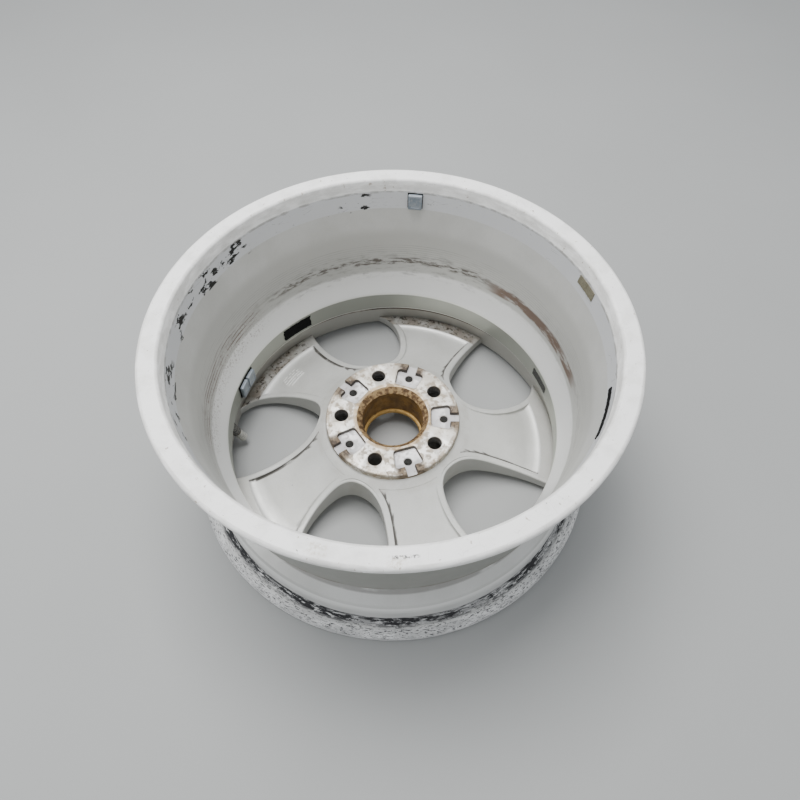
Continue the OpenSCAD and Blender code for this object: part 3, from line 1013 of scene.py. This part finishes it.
SILVER = tone(0.64, 0.64, 0.62)
SILVER_DIM = tone(0.55, 0.55, 0.525)
SOOT = tone(0.02, 0.019, 0.018)
print("paint colours:", SILVER[:3], SILVER_DIM[:3])

# %% [markdown]
# ## Silver paint on the barrel
#
# The paint is the same all over, but its life was not. The lip is painted near white,
# a painted highlight where it faces the light, and it is scuffed. The strip below it is
# bluish with black chips, and brake dust has settled in a dark line half-way down the
# inside. The belt above the ledge is painted bright, a painted highlight. The ledge is
# painted a darker greenish grey, and the groove below it is full of dirt. Outside, the
# tyre has left black rubber on the flange. Each of these is a colour, laid over the one
# before through a mask of height, angle and noise.

# %% Barrel paint
silver_barrel, tree, shader = new_material("silver_barrel")
where = use(tree, wheel_place)
point, radius, height = where["Point"], where["Radius"], where["Height"]
angle, inside, drawn = where["Angle"], where["Inward"], where["Drawn"]
outside = maths(tree, "SUBTRACT", 1.0, inside)


def ring_of(value, low, high, blur):
    """A soft band of a value in the material that is being built."""
    return use(tree, belt, Value=value, From=low, To=high, Blur=blur)["Mask"]


def spots(scale, cover, blur=0.04, flatten=1.0, seed=0.0, detail=6.0, at=None):
    """Patches in the material that is being built."""
    return use(tree, patches, Point=at or point, Scale=scale, Cover=cover, Blur=blur, Flatten=flatten,
               Seed=seed, Detail=detail)["Mask"]


def lay(under, colour, *masks):
    """Lay a colour (red, green, blue) over another one, through all masks together."""
    mask = both(tree, *masks) if len(masks) > 1 else masks[0]
    return over(tree, mask, under, tone(*colour))


def either(first, second):
    return maths(tree, "MAXIMUM", first, second)


lip = ring_of(height, 139.6, 200, 1.2)
strip = both(tree, ring_of(height, 119.5, 138.6, 1.2), inside)
wall = both(tree, ring_of(height, 34, 119, 6), inside)
belly_highlight = both(tree, ring_of(height, 7, 32, 4), inside)
ledge = both(tree, ring_of(height, -20.6, 3.2, 0.5), inside)
foot = both(tree, ring_of(height, -60, -22.5, 0.6), inside)

paint = over(tree, spots(0.012, 0.5, 0.2), SILVER, SILVER_DIM)
paint = lay(paint, (0.42, 0.42, 0.40), spots(1.1, 0.42, 0.1, detail=2.0), 0.16)
paint = lay(paint, (0.67, 0.68, 0.70), strip, 0.85)
paint = lay(paint, (0.48, 0.48, 0.455), wall, ring_of(height, 40, 84, 14), 0.75)
# painted highlight: the convex belt above the ledge faces up and in, and is painted near white
paint = lay(paint, (0.82, 0.82, 0.81), belly_highlight, 0.85)
paint = lay(paint, (0.30, 0.31, 0.265), ledge, 0.9)
paint = lay(paint, (0.38, 0.37, 0.33), foot, 0.8)
print("paint layers of the inside laid")

# %% [markdown]
# Thin lines run round the wall where the casting was turned, and the dust line below them
# is broken by noise that is stretched along the wall. Its colour changes with the angle:
# sooty on the far side, rusty brown to the right and to the left.

# %% Turning lines and brake dust
wobble = put(tree, "ShaderNodeTexNoise", {"Vector": point, "Scale": 0.02, "Detail": 2.0}).outputs["Fac"]
level = maths(tree, "MULTIPLY_ADD", wobble, 9.0, height)
lines = maths(tree, "SINE", maths(tree, "MULTIPLY", height, 2.1))
lines = both(tree, ramp(tree, lines, 0.72, 0.98), ring_of(height, 57, 73, 2), inside)
lines = both(tree, lines, spots(0.03, 0.55, 0.15, 6.0, 3.0))
paint = lay(paint, (0.22, 0.22, 0.20), lines, 0.55)

dust_line = both(tree, ring_of(level, 52, 57.5, 3.5), inside)
dust_fine = spots(0.30, 0.50, 0.08, 1.0, 11.0, 10.0, drawn)
far_side = ring_of(angle, 62, 128, 14)
left_side = either(ring_of(angle, 150, 200, 12), ring_of(angle, -200, -164, 8))
right_side = ring_of(angle, 8, 48, 9)
soot = both(tree, dust_line, dust_fine, maths(tree, "MULTIPLY_ADD", far_side, 0.7, 0.2))
paint = lay(paint, (0.09, 0.072, 0.056), soot)
halo = both(tree, ring_of(level, 38, 62, 12), inside, spots(0.3, 0.40, 0.12, 1.0, 21.0, 10.0, drawn))
paint = lay(paint, (0.16, 0.15, 0.14), halo, maths(tree, "MULTIPLY_ADD", far_side, 0.25, 0.22))
rust_right = both(
    tree, ring_of(level, 46, 56, 3), right_side, inside,
    spots(0.15, 0.55, 0.09, 1.0, 31.0, 9.0, drawn),
)
paint = lay(paint, (0.13, 0.075, 0.05), rust_right, 0.9)
rust_lines = ramp(tree, maths(tree, "SINE", maths(tree, "MULTIPLY", level, 1.3)), 0.1, 0.9)
rust_left = both(
    tree, ring_of(level, 44, 62, 4), left_side, inside, rust_lines,
    spots(0.12, 0.52, 0.12, 1.0, 41.0, 6.0, drawn),
)
paint = lay(paint, (0.14, 0.085, 0.07), rust_left, 0.75)
dusting = both(
    tree, ring_of(level, 30, 52, 10), left_side, inside, spots(0.5, 0.42, 0.06, 1.0, 43.0, 8.0),
)
paint = lay(paint, (0.16, 0.09, 0.075), dusting, 0.5)
print("dust on", "far, left and right sides")

# %% [markdown]
# Chips and knocks come next. On the strip they are black and drawn out along the rim,
# mostly on the left and at the far side. The lip has small dark marks with a brown halo.

# %% Chips on the strip, marks on the lip
chip_zone = both(tree, ring_of(height, 117, 137.5, 1.0), inside)
chip_side = either(ring_of(angle, 141, 176, 3), ring_of(angle, 98, 106, 2))
chip_side = either(chip_side, ring_of(angle, -172, -150, 3))
chips = both(tree, chip_zone, chip_side, spots(0.05, 0.43, 0.012, 2.0, 52.0, 5.0))
paint = over(tree, chips, paint, SOOT)
specks = both(tree, chip_zone, spots(0.28, 0.265, 0.015, 1.6, 57.0, 3.0))
paint = over(tree, specks, paint, SOOT)
thin = use(tree, scratches, Point=point, Scale=0.05, Flatten=3.0, Width=0.018, Cover=0.42)["Mask"]
paint = lay(paint, (0.10, 0.09, 0.08), thin, strip, 0.7)

# painted highlight: the lip, which faces up, is painted near white
paint = lay(paint, (0.94, 0.935, 0.915), lip, 0.95)
stain = both(tree, lip, spots(0.05, 0.44, 0.10, 1.0, 61.0, 10.0))
paint = lay(paint, (0.68, 0.67, 0.635), stain, 0.45)
# the lip is painted darker grey towards its rounded edges, broken by noise
lip_edge_darkening = both(tree, lip, either(ring_of(radius, 217.6, 222, 1.0), ring_of(radius, 200, 203.4, 0.8)))
paint = lay(paint, (0.50, 0.49, 0.46), lip_edge_darkening, spots(0.2, 0.52, 0.14, 1.0, 63.0, 8.0, drawn), 0.5)
marks = both(tree, lip, spots(0.16, 0.335, 0.03, 1.0, 66.0, 10.0))
paint = lay(paint, (0.33, 0.27, 0.20), marks, 0.8)
nicks = both(tree, lip, spots(0.36, 0.275, 0.012, 1.0, 71.0, 4.0))
paint = lay(paint, (0.05, 0.045, 0.04), nicks)
scuffs = use(tree, scratches, Point=point, Scale=0.09, Flatten=1.0, Width=0.02, Cover=0.45)["Mask"]
paint = lay(paint, (0.45, 0.44, 0.42), scuffs, lip, 0.35)
print("chips, specks and nicks placed")

# %% [markdown]
# The lip carries one black smear with a brown drip on the near side, where it was leant
# against something. It is placed by angle and radius, and noise breaks up its outline.

# %% The smear on the near lip
near = -87.5
drip = both(tree, ring_of(angle, near - 2.0, near + 0.2, 1.2), ring_of(radius, 211, 217, 2.5), lip)
drip = either(drip, both(tree, ring_of(angle, -105, -102.5, 1.4), ring_of(radius, 208, 214, 3), lip))
paint = lay(paint, (0.45, 0.38, 0.27), drip, spots(0.35, 0.47, 0.12, 1.0, 79.0, 9.0), 0.55)
smear = both(tree, ring_of(angle, near - 1.0, near + 2.6, 1.2), ring_of(radius, 210.0, 211.2, 1.2), lip)
paint = over(tree, both(tree, smear, spots(0.7, 0.50, 0.06, 1.0, 77.0, 9.0), 0.9), paint, SOOT)
print("smear at", near, "degrees")

# %% [markdown]
# Below the ledge the groove is packed with dirt, most of all on the far side. The edges
# of the ledge itself are painted bright: partly lighter paint, partly a painted highlight
# on their rounded edges.

# %% Groove and ledge edges
packed = both(tree, ring_of(height, -33, -22.2, 1.0), inside)
packed_side = either(ring_of(angle, 50, 112, 12), both(tree, left_side, 0.75))
packed_side = either(packed_side, 0.35)
paint = lay(
    paint, (0.055, 0.04, 0.03), packed, packed_side, spots(0.2, 0.56, 0.08, 1.0, 83.0, 9.0, drawn),
)
paint = lay(paint, (0.25, 0.20, 0.15), packed, spots(0.04, 0.5, 0.15, 2.0, 87.0), 0.5)
# painted highlight and lighter paint on both edges of the ledge
edges = either(ring_of(height, 3.6, 5.6, 0.4), ring_of(height, -22.6, -21.2, 0.3))
paint = lay(paint, (0.78, 0.78, 0.74), edges, inside, 0.8)
under_lip = both(tree, ring_of(height, 137.2, 139.2, 0.7), inside, spots(0.09, 0.5, 0.1, 2.0, 89.0))
paint = lay(paint, (0.22, 0.20, 0.17), under_lip, 0.5)
print("groove packed")

# %% [markdown]
# Outside, the wall under the inboard flange is painted a dark greenish grey: a painted
# shadow of the flange and a painted reflection of grass. It ends at a shoulder with a thin
# rusty line. The crease of the drop centre and the heel of the bead seat are dark, and the
# ridge between them is painted bright as a painted highlight. The outboard flange is
# painted near white, and black where rubber stuck.

# %% Outside of the barrel
# painted shadow and painted reflection: the wall under the inboard flange is painted dark greenish grey
shell = both(tree, ring_of(height, 26, 92, 22), outside)
paint = lay(paint, (0.27, 0.275, 0.245), shell, 0.8)
dusty_shell = both(
    tree, ring_of(height, 22, 118, 3), outside, spots(0.08, 0.5, 0.16, 1.0, 90.0, 8.0, drawn),
)
paint = lay(paint, (0.38, 0.37, 0.34), dusty_shell, 0.35)
shoulder = both(
    tree, ring_of(height, 22.4, 24.4, 0.7), outside, spots(0.3, 0.55, 0.09, 1.0, 91.0, 8.0, drawn),
)
paint = lay(paint, (0.19, 0.145, 0.10), shoulder, 0.75)
slope_dust = both(
    tree, ring_of(height, 6, 22, 2), outside, spots(0.12, 0.42, 0.12, 1.0, 92.0, 9.0, drawn),
)
paint = lay(paint, (0.36, 0.34, 0.30), slope_dust, 0.5)
crease = both(tree, ring_of(height, -15.6, -12.6, 0.8), outside)
paint = lay(paint, (0.16, 0.15, 0.135), crease, spots(0.12, 0.62, 0.1, 1.0, 93.0, 6.0, drawn), 0.6)
# painted highlight: the bead seat and the ridge face out and up, and are painted near white
seat = both(tree, ring_of(height, -46, -24, 1.0), outside)
paint = lay(paint, (0.80, 0.80, 0.78), seat, 0.8)
heel = both(tree, ring_of(level, -44.5, -39.6, 1.0), outside)
paint = lay(paint, (0.10, 0.10, 0.098), heel, spots(0.12, 0.60, 0.1, 1.0, 95.0, 6.0, drawn), 0.5)
flange = both(tree, ring_of(height, -62, -44.5, 0.6), ring_of(radius, 200.5, 225, 0.6), outside)
paint = lay(paint, (0.74, 0.74, 0.73), flange, 0.95)
smudge = both(tree, flange, spots(0.14, 0.5, 0.12, 1.0, 96.0, 8.0, drawn))
paint = lay(paint, (0.38, 0.38, 0.375), smudge, 0.6)
along_flange = maths(tree, "SUBTRACT", radius, height)
inner_band = ring_of(along_flange, 244, 259.5, 2.0)
streaks = both(tree, flange, inner_band, spots(0.40, 0.56, 0.035, 1.0, 97.0, 10.0, drawn))
bare_arcs = spots(0.10, 0.45, 0.05, 1.0, 94.0, 4.0, drawn)
streaks = both(tree, streaks, maths(tree, "MULTIPLY_ADD", bare_arcs, -0.55, 1.0))
paint = lay(paint, (0.018, 0.018, 0.02), streaks)
fine_streaks = both(
    tree, flange, ring_of(along_flange, 246, 274, 3),
    spots(0.95, 0.43, 0.03, 1.0, 98.0, 9.0, drawn),
)
paint = lay(paint, (0.03, 0.03, 0.032), fine_streaks)
flecks = both(tree, flange, spots(0.5, 0.37, 0.02, 1.0, 99.0, 8.0))
paint = lay(paint, (0.04, 0.04, 0.042), flecks)
tree.links.new(paint, shader.inputs["Base Color"])
print("outside painted")

# %% [markdown]
# Silver paint is full of metal flakes, so it is a little metallic and not very rough.
# Dirt and rubber are rough, so the masks that darken the colour also raise the roughness.

# %% Gloss and relief of the barrel
dirt = either(either(soot, packed), either(flange, rust_left))
rough = maths(tree, "MULTIPLY_ADD", dirt, 0.3, 0.40)
rough = maths(tree, "MULTIPLY_ADD", lip, 0.16, rough)
rough = maths(tree, "MULTIPLY_ADD", spots(0.06, 0.5, 0.2), 0.08, rough)
tree.links.new(rough, shader.inputs["Roughness"])
metal = maths(tree, "MULTIPLY_ADD", either(dirt, lip), -0.38, 0.42, clamp=True)
tree.links.new(metal, shader.inputs["Metallic"])
relief = use(tree, grain, Point=point, Coarse=0.25, Fine=1.4)["Height"]
relief = maths(tree, "MULTIPLY_ADD", lines, -0.8, relief)
relief = maths(tree, "MULTIPLY_ADD", either(chips, nicks), -1.2, relief)
relief = maths(tree, "MULTIPLY_ADD", either(streaks, fine_streaks), 1.2, relief)
bump(tree, shader, relief, 0.5, 0.12)
dress(barrel, silver_barrel)
print("barrel dressed with", len(tree.nodes), "nodes")

# %% [markdown]
# ## Paint, bare metal and rust on the disc
#
# The spokes keep their silver paint, with a dark line along the foot of each pocket wall:
# dirt, and painted shade in the corner. The pad is bare: it rubbed against the hub, so it is
# bright, blotched, and brown round the mouths of the slots. The bore is stained golden brown
# by rust from the hub. To place the dark line, each vertex of the disc is given a value
# that is 1 at the foot of a pocket wall; the material reads it by name.

# %% A dark line along the pocket walls: dirt and painted shade
def window_frame(point, k):
    """A point in the frame of window k: x clockwise, y outwards."""
    a = math.radians(FIRST_WINDOW - 90 + k * STEP)
    x = point.x * math.cos(a) + point.y * math.sin(a)
    y = -point.x * math.sin(a) + point.y * math.cos(a)
    return Vector((x, y))


def line_distance(point, line):
    """Distance from a point to a run of short lines, and the side that the nearest one is on."""
    best = 1e9
    side = 0
    for a, b in zip(line, line[1:]):
        along = b - a
        t = min(max((point - a).dot(along) / along.length_squared, 0), 1)
        gap = (point - a - along * t).length
        if gap < best:
            best = gap
            side = (a + b).x / 2
    return best, side


outline = window_curve(0)[:-2]
values = []
bright = []
for vertex in disc.data.vertices:
    place = vertex.co / MM
    value = 0.0
    radius = Vector(place[:2]).length
    over_floor = place.z - back_height(radius) + pocket_depth(radius)
    turn = math.degrees(math.atan2(place.y, place.x))
    bright.append(float(139 < radius < 157 and 140.5 < turn < 152 and over_floor > 0.3))
    if 74 < Vector(place[:2]).length < 172 and place.z > -50:
        drop = back_height(Vector(place[:2]).length) - place.z
        for k in range(SPOKES):
            local = window_frame(place, k)
            if local.y < 60:
                continue
            gap, side = line_distance(local, outline)
            near_wall = max(0.0, 1 - abs(gap - BAND - 0.9) / 2.0)
            if near_wall > 0 and drop > 0.25:
                weight_here = 1.0 if side < 10 else 0.35
                value = max(value, near_wall * weight_here * min(1.0, drop / 0.8))
    values.append(value)
attribute = disc.data.attributes.new("wall_foot", "FLOAT", "POINT")
attribute.data.foreach_set("value", values)
# cast_line marks the raised cast lines, which the material paints as a highlight
attribute = disc.data.attributes.new("cast_line", "FLOAT", "POINT")
attribute.data.foreach_set("value", bright)
print("vertices on the dirt line:", sum(v > 0.4 for v in values))

# %% Disc paint: spokes
silver_disc, tree, shader = new_material("silver_disc")
where = use(tree, wheel_place)
point, radius, height = where["Point"], where["Radius"], where["Height"]
angle, inside, up = where["Angle"], where["Inward"], where["Up"]

paint = lay(SILVER, (0.53, 0.53, 0.50), spots(0.011, 0.5, 0.2))
paint = lay(paint, (0.42, 0.42, 0.39), spots(1.0, 0.42, 0.1, detail=2.0), 0.22)
front = ramp(tree, up, -0.2, -0.6)
paint = lay(paint, (0.62, 0.62, 0.62), front)
# painted shade: steep walls of windows and pockets are painted darker grey
steep_wall_shade = both(
    tree, ramp(tree, up, 0.55, 0.25), ramp(tree, up, -0.5, -0.2), ring_of(radius, 78, 190, 2),
)
paint = lay(paint, (0.30, 0.30, 0.275), steep_wall_shade, 0.55)
# dirt and painted shade: a near-black line in the corner at the foot of each pocket wall
wall_foot_dirt_and_shade = put(tree, "ShaderNodeAttribute", attribute_name="wall_foot").outputs["Fac"]
wall_foot_dirt_and_shade = both(
    tree, ramp(tree, wall_foot_dirt_and_shade, 0.15, 0.6), ramp(tree, up, -0.15, 0.05),
    spots(0.06, 0.62, 0.12, seed=3.0),
)
paint = lay(paint, (0.04, 0.034, 0.028), wall_foot_dirt_and_shade, 0.92)
rim_end = both(tree, ring_of(radius, 169.5, 190, 1.5), ramp(tree, up, 0.3, 0.6))
end_dirt = either(ring_of(angle, 55, 100, 8), ring_of(angle, 132, 170, 6))
paint = lay(paint, (0.47, 0.46, 0.42), rim_end, 0.35)
paint = lay(paint, (0.21, 0.17, 0.13), rim_end, end_dirt, spots(0.05, 0.56, 0.12, seed=7.0), 0.75)
crumbs = both(tree, rim_end, end_dirt, spots(0.22, 0.43, 0.05, seed=13.0, detail=9.0))
paint = lay(paint, (0.045, 0.034, 0.026), crumbs, 0.9)
grit = both(tree, rim_end, spots(0.4, 0.31, 0.03, seed=15.0, detail=9.0))
paint = lay(paint, (0.08, 0.06, 0.045), grit, 0.8)
pin_dots = both(
    tree, ring_of(radius, 76, 172, 2), ramp(tree, up, 0.3, 0.6),
    spots(0.30, 0.235, 0.012, seed=17.0, detail=3.0),
)
paint = lay(paint, (0.12, 0.10, 0.085), pin_dots, 0.8)
haze = both(tree, ring_of(radius, 73, 84, 4), spots(0.06, 0.5, 0.15, seed=19.0))
paint = lay(paint, (0.36, 0.33, 0.28), haze, 0.3)
# painted highlight: the raised cast lines are painted near white
raised = put(tree, "ShaderNodeAttribute", attribute_name="cast_line").outputs["Fac"]
paint = lay(paint, (0.80, 0.80, 0.78), raised, 0.9)
print("spokes painted")

# %% Hub pad: bare, blotched and stained
# The five slots repeat, so a sawtooth of the angle tells how far a place is from a slot.
slot_turn = maths(tree, "ADD", angle, 360 - (FIRST_BOLT - STEP / 2) + STEP / 2)
slot_turn = maths(tree, "SUBTRACT", maths(tree, "MODULO", slot_turn, STEP), STEP / 2)
from_slot = maths(tree, "ABSOLUTE", slot_turn)
pad = both(tree, ring_of(radius, 33, 73.3, 0.3), ring_of(height, -7.5, 5, 0.6))
bare = lay(tone(0.78, 0.765, 0.73), (0.55, 0.51, 0.44), spots(0.05, 0.5, 0.14, seed=23.0))
blotch = spots(0.15, 0.45, 0.06, seed=29.0, detail=10.0)
bare = lay(bare, (0.33, 0.27, 0.20), blotch, 0.75)
near_slot = both(tree, ramp(tree, from_slot, 16, 9), ring_of(radius, 59.5, 74, 3))
slot_dirt = both(tree, near_slot, spots(0.11, 0.64, 0.08, seed=31.0, detail=9.0))
bare = lay(bare, (0.15, 0.105, 0.065), slot_dirt, 0.92)
slot_black = both(tree, near_slot, spots(0.2, 0.52, 0.05, seed=37.0, detail=10.0))
bare = lay(bare, (0.06, 0.045, 0.035), slot_black, 0.85)
edge_dirt = both(tree, ring_of(radius, 69.5, 74, 2.0), spots(0.16, 0.52, 0.07, seed=41.0, detail=10.0))
bare = lay(bare, (0.27, 0.215, 0.15), edge_dirt, 0.65)
bore_edge = both(tree, ring_of(radius, 30, 41.5, 3.0), spots(0.12, 0.60, 0.12, seed=43.0, detail=9.0))
bare = lay(bare, (0.36, 0.25, 0.13), bore_edge, 0.8)
bolt_ring = both(
    tree, ring_of(radius, 44, 68, 4), ramp(tree, from_slot, 22, 30),
    spots(0.2, 0.40, 0.05, seed=47.0),
)
bare = lay(bare, (0.42, 0.37, 0.31), bolt_ring, 0.4)
pepper = spots(0.4, 0.30, 0.02, seed=53.0, detail=4.0)
bare = lay(bare, (0.13, 0.10, 0.08), pepper, 0.75)
print("pad worn")

# %% Pocket floors, pocket walls, bore and holes
pocket_floor = both(tree, ring_of(height, -5.4, -4.3, 0.3), ramp(tree, up, 0.5, 0.9))
bare = lay(bare, (0.60, 0.59, 0.595), pocket_floor, 0.85)
bare = lay(bare, (0.33, 0.28, 0.24), pocket_floor, spots(0.12, 0.38, 0.06, seed=59.0), 0.6)
# painted shade: the steep walls of the pad pockets are painted near black
pocket_wall_shade = both(
    tree, ramp(tree, up, 0.75, 0.45), ring_of(height, -5.1, -0.5, 0.4),
    ring_of(radius, 41.8, 71, 1),
)
bare = lay(bare, (0.05, 0.042, 0.036), pocket_wall_shade, 0.88)
paint = over(tree, pad, paint, bare)

bore = both(tree, ring_of(radius, 20, 38.8, 0.8), ring_of(height, -50, -0.6, 0.8))
rust = lay(tone(0.24, 0.135, 0.035), (0.11, 0.06, 0.02), spots(0.05, 0.5, 0.14, seed=61.0, detail=9.0))
chamfer = both(tree, ring_of(height, -6.2, -0.3, 0.8), ring_of(radius, 33, 40, 1))
rusty_chamfer = lay(
    tone(0.38, 0.26, 0.13), (0.12, 0.07, 0.035), spots(0.2, 0.5, 0.08, seed=67.0, detail=10.0),
)
rust = over(tree, chamfer, rust, rusty_chamfer)
golden = both(tree, ring_of(height, -43.5, -37.0, 0.5))
rust = lay(rust, (0.50, 0.32, 0.10), golden, 0.9)
rust = lay(rust, (0.07, 0.04, 0.02), spots(0.22, 0.36, 0.05, seed=71.0), 0.7)
paint = over(tree, bore, paint, rust)

hole_wall = both(
    tree, ring_of(radius, 41, 71, 1), ring_of(height, -48, -1.0, 0.3), ramp(tree, up, 0.75, 0.3),
)
# painted shade: the walls deep inside the bolt holes are painted dark grey
deep = both(tree, hole_wall, ring_of(height, -48, -5.4, 0.6), ramp(tree, up, -0.7, -0.3))
paint = lay(paint, (0.16, 0.155, 0.15), deep, 0.85)
tree.links.new(paint, shader.inputs["Base Color"])
print("bore and holes stained")

# %% Gloss and relief of the disc
worn = either(pad, bore)
rough = maths(tree, "MULTIPLY_ADD", worn, 0.08, 0.40)
rough = maths(tree, "MULTIPLY_ADD", both(tree, worn, either(blotch, slot_dirt)), 0.22, rough)
rough = maths(tree, "MULTIPLY_ADD", spots(0.07, 0.5, 0.2, seed=73.0), 0.08, rough)
tree.links.new(rough, shader.inputs["Roughness"])
clean_pad = both(tree, pad, maths(tree, "SUBTRACT", 1.0, either(blotch, slot_dirt)))
metal = maths(tree, "MULTIPLY_ADD", clean_pad, 0.25, 0.38)
metal = maths(tree, "MULTIPLY_ADD", either(wall_foot_dirt_and_shade, pocket_wall_shade), -0.3, metal, clamp=True)
tree.links.new(metal, shader.inputs["Metallic"])
relief = use(tree, grain, Point=point, Coarse=0.28, Fine=1.6)["Height"]
sparkle = both(
    tree, ring_of(angle, -66, -48, 6), ring_of(radius, 120, 172, 8),
    spots(0.5, 0.5, 0.04, seed=79.0),
)
relief = maths(tree, "MULTIPLY_ADD", sparkle, 0.8, relief)
relief = maths(tree, "MULTIPLY_ADD", both(tree, worn, blotch), -0.9, relief)
bump(tree, shader, relief, 0.5, 0.12)
dress(disc, silver_disc)
print("disc dressed with", len(tree.nodes), "nodes")

# %% [markdown]
# ## Small finishes
#
# The small pieces get their own finishes: dusty rubber, dull brass, oxidised zinc, foam
# and glue. They share the same groups, so dust has the same grain everywhere.

# %% A small finish: two tones, dust, roughness and grain
def small_finish(name, colour, second, dusty, metallic, roughness, grain_mm, scale, dust_cover, shine):
    """A two-tone finish with dust on it; scale is the size of the blotches per millimetre."""
    material, tree, shader = new_material(name)
    place = use(tree, wheel_place)
    blotches = use(tree, patches, Point=place["Point"], Scale=scale, Cover=0.5, Blur=0.14)["Mask"]
    dust = use(tree, patches, Point=place["Point"], Scale=scale * 2.4, Cover=dust_cover, Blur=0.12,
               Seed=9.0)["Mask"]
    colour = over(tree, blotches, tone(*colour), tone(*second))
    colour = over(tree, both(tree, dust, 0.7), colour, tone(*dusty))
    tree.links.new(colour, shader.inputs["Base Color"])
    shader.inputs["Specular IOR Level"].default_value = shine
    tree.links.new(maths(tree, "MULTIPLY_ADD", dust, 0.2, roughness), shader.inputs["Roughness"])
    tree.links.new(maths(tree, "MULTIPLY_ADD", dust, -metallic * 0.6, metallic), shader.inputs["Metallic"])
    bump(tree, shader, use(tree, grain, Point=place["Point"], Coarse=0.8, Fine=4.0)["Height"], 0.6, grain_mm)
    return material


# Each row: colour, second colour, dust, metallic, roughness, grain in mm, scale, dust cover, shine.
FINISHES = {
    "zinc": (
        (0.20, 0.235, 0.27), (0.25, 0.28, 0.31), (0.36, 0.37, 0.37),
        0.25, 0.45, 0.05, 0.18, 0.4, 0.5,
    ),
    "foam_tape": (
        (0.005, 0.005, 0.0055), (0.009, 0.009, 0.009), (0.035, 0.034, 0.032),
        0, 0.7, 0.2, 0.4, 0.22, 0.06,
    ),
    "grey_tape": (
        (0.035, 0.036, 0.036), (0.065, 0.065, 0.06), (0.15, 0.145, 0.13),
        0, 0.7, 0.2, 0.4, 0.4, 0.15,
    ),
    "olive_tape": (
        (0.115, 0.105, 0.065), (0.155, 0.14, 0.095), (0.24, 0.23, 0.19),
        0, 0.6, 0.12, 0.3, 0.4, 0.5,
    ),
    "black_rubber": (
        (0.02, 0.02, 0.021), (0.045, 0.044, 0.042), (0.24, 0.235, 0.21),
        0, 0.6, 0.06, 0.3, 0.5, 0.3,
    ),
    "brass": (
        (0.50, 0.36, 0.15), (0.36, 0.26, 0.12), (0.22, 0.19, 0.13),
        0.9, 0.35, 0.03, 0.5, 0.4, 0.5,
    ),
    "white_seal": (
        (0.78, 0.78, 0.76), (0.7, 0.7, 0.68), (0.5, 0.5, 0.47),
        0, 0.35, 0.02, 0.6, 0.4, 0.5,
    ),
    "spring_steel": (
        (0.5, 0.5, 0.5), (0.38, 0.38, 0.39), (0.2, 0.19, 0.17),
        1.0, 0.25, 0.02, 0.8, 0.4, 0.5,
    ),
    "grey_plastic": (
        (0.22, 0.22, 0.21), (0.32, 0.32, 0.30), (0.50, 0.49, 0.44),
        0, 0.5, 0.05, 0.3, 0.55, 0.5,
    ),
}
finishes = {name: small_finish(name, *values) for name, values in FINISHES.items()}
print("finishes:", sorted(finishes))

# %% Every small piece gets the finish of its slot
slots = {s["node"]: s["material_slot"] for s in frame["record"]["subparts"]}
for node, piece in frame["nodes"].items():
    if slots[node] in finishes:
        dress(piece, finishes[slots[node]])
    else:
        dress(piece, silver_barrel if node == "rim_barrel" else silver_disc)
for piece in weights:
    dress(piece, finishes["zinc"])
for piece in tapes:
    dress(piece, finishes[slots[piece.name.replace("_sheet", "")]])
for piece, finish in ((valve_rubber, "black_rubber"), (valve_stem, "brass"), (valve_cap, "grey_plastic")):
    dress(piece, finishes[finish])
print("dressed:", len(frame["nodes"]), "packed pieces and the new ones")

# %% [markdown]
# ## Floor, light and camera
#
# The wheel lies on a plain pale floor under a soft, bright sky. One large lamp overhead
# gives the lip its shine, and a weaker one from the side models the walls. The camera
# looks down at 56 degrees with a short lens, close to the wheel, so the far side of the
# barrel looks much smaller than the near side.

# %% Floor
clear_selection()
bpy.ops.mesh.primitive_plane_add(size=16, location=(0, 0, 0))
ground = bpy.context.object
ground.name = "floor"
ground.data.transform(Matrix.Translation((0, 0, FRONT_Z * MM)))
floor_finish, tree, shader = new_material("pale_floor")
floor_point = put(tree, "ShaderNodeTexCoord").outputs["Object"]
mottle = put(tree, "ShaderNodeTexNoise", {"Vector": floor_point, "Scale": 3.0, "Detail": 3.0}).outputs["Fac"]
pale = over(tree, mottle, tone(0.32, 0.325, 0.32), tone(0.36, 0.365, 0.36))
tree.links.new(pale, shader.inputs["Base Color"])
shader.inputs["Roughness"].default_value = 0.9
dress(ground, floor_finish)
print("floor at", FRONT_Z, "mm")

# %% Sky and lamps
sky = bpy.data.worlds.new("soft_sky")
bpy.context.scene.world = sky
sky.use_nodes = True
sky.node_tree.nodes["Background"].inputs["Color"].default_value = (0.93, 0.96, 1.0, 1)
sky.node_tree.nodes["Background"].inputs["Strength"].default_value = 0.78


def lamp(name, place, aim, size, power):
    """A square area lamp at a place, turned towards an aim point; lengths in metres."""
    clear_selection()
    bpy.ops.object.light_add(type="AREA", location=place)
    light = bpy.context.object
    light.name = name
    light.data.energy = power
    light.data.size = size
    light.rotation_euler = (Vector(aim) - Vector(place)).to_track_quat("-Z", "Y").to_euler()
    return light


lamp("overhead", (-0.25, 0.35, 1.7), (0, 0, 0), 1.0, 46)
lamp("left_side", (-1.5, -0.3, 1.1), (0, 0, 0), 0.9, 7)
print("two lamps and a sky")

# %% Camera
CAMERA_PLACE = (8.0, -351.4, 560.1)     # millimetres from the centre of the hub face
CAMERA_PITCH = 33.6                     # degrees from looking straight down
clear_selection()
bpy.ops.object.camera_add(location=Vector(CAMERA_PLACE) * MM, rotation=(math.radians(CAMERA_PITCH), 0, 0))
camera = bpy.context.object
camera.name = "camera"
camera.data.lens = 27.3
camera.data.sensor_width = 36
camera.data.clip_start = 0.02
bpy.context.scene.camera = camera
print("camera is %.0f mm from the hub" % Vector(CAMERA_PLACE).length)

# %% Print the face count of the barrel and finish
for piece in bpy.context.scene.objects:
    if piece.type == "MESH" and piece.name.endswith("_shell"):
        print(piece.name, len(piece.data.polygons), "faces")
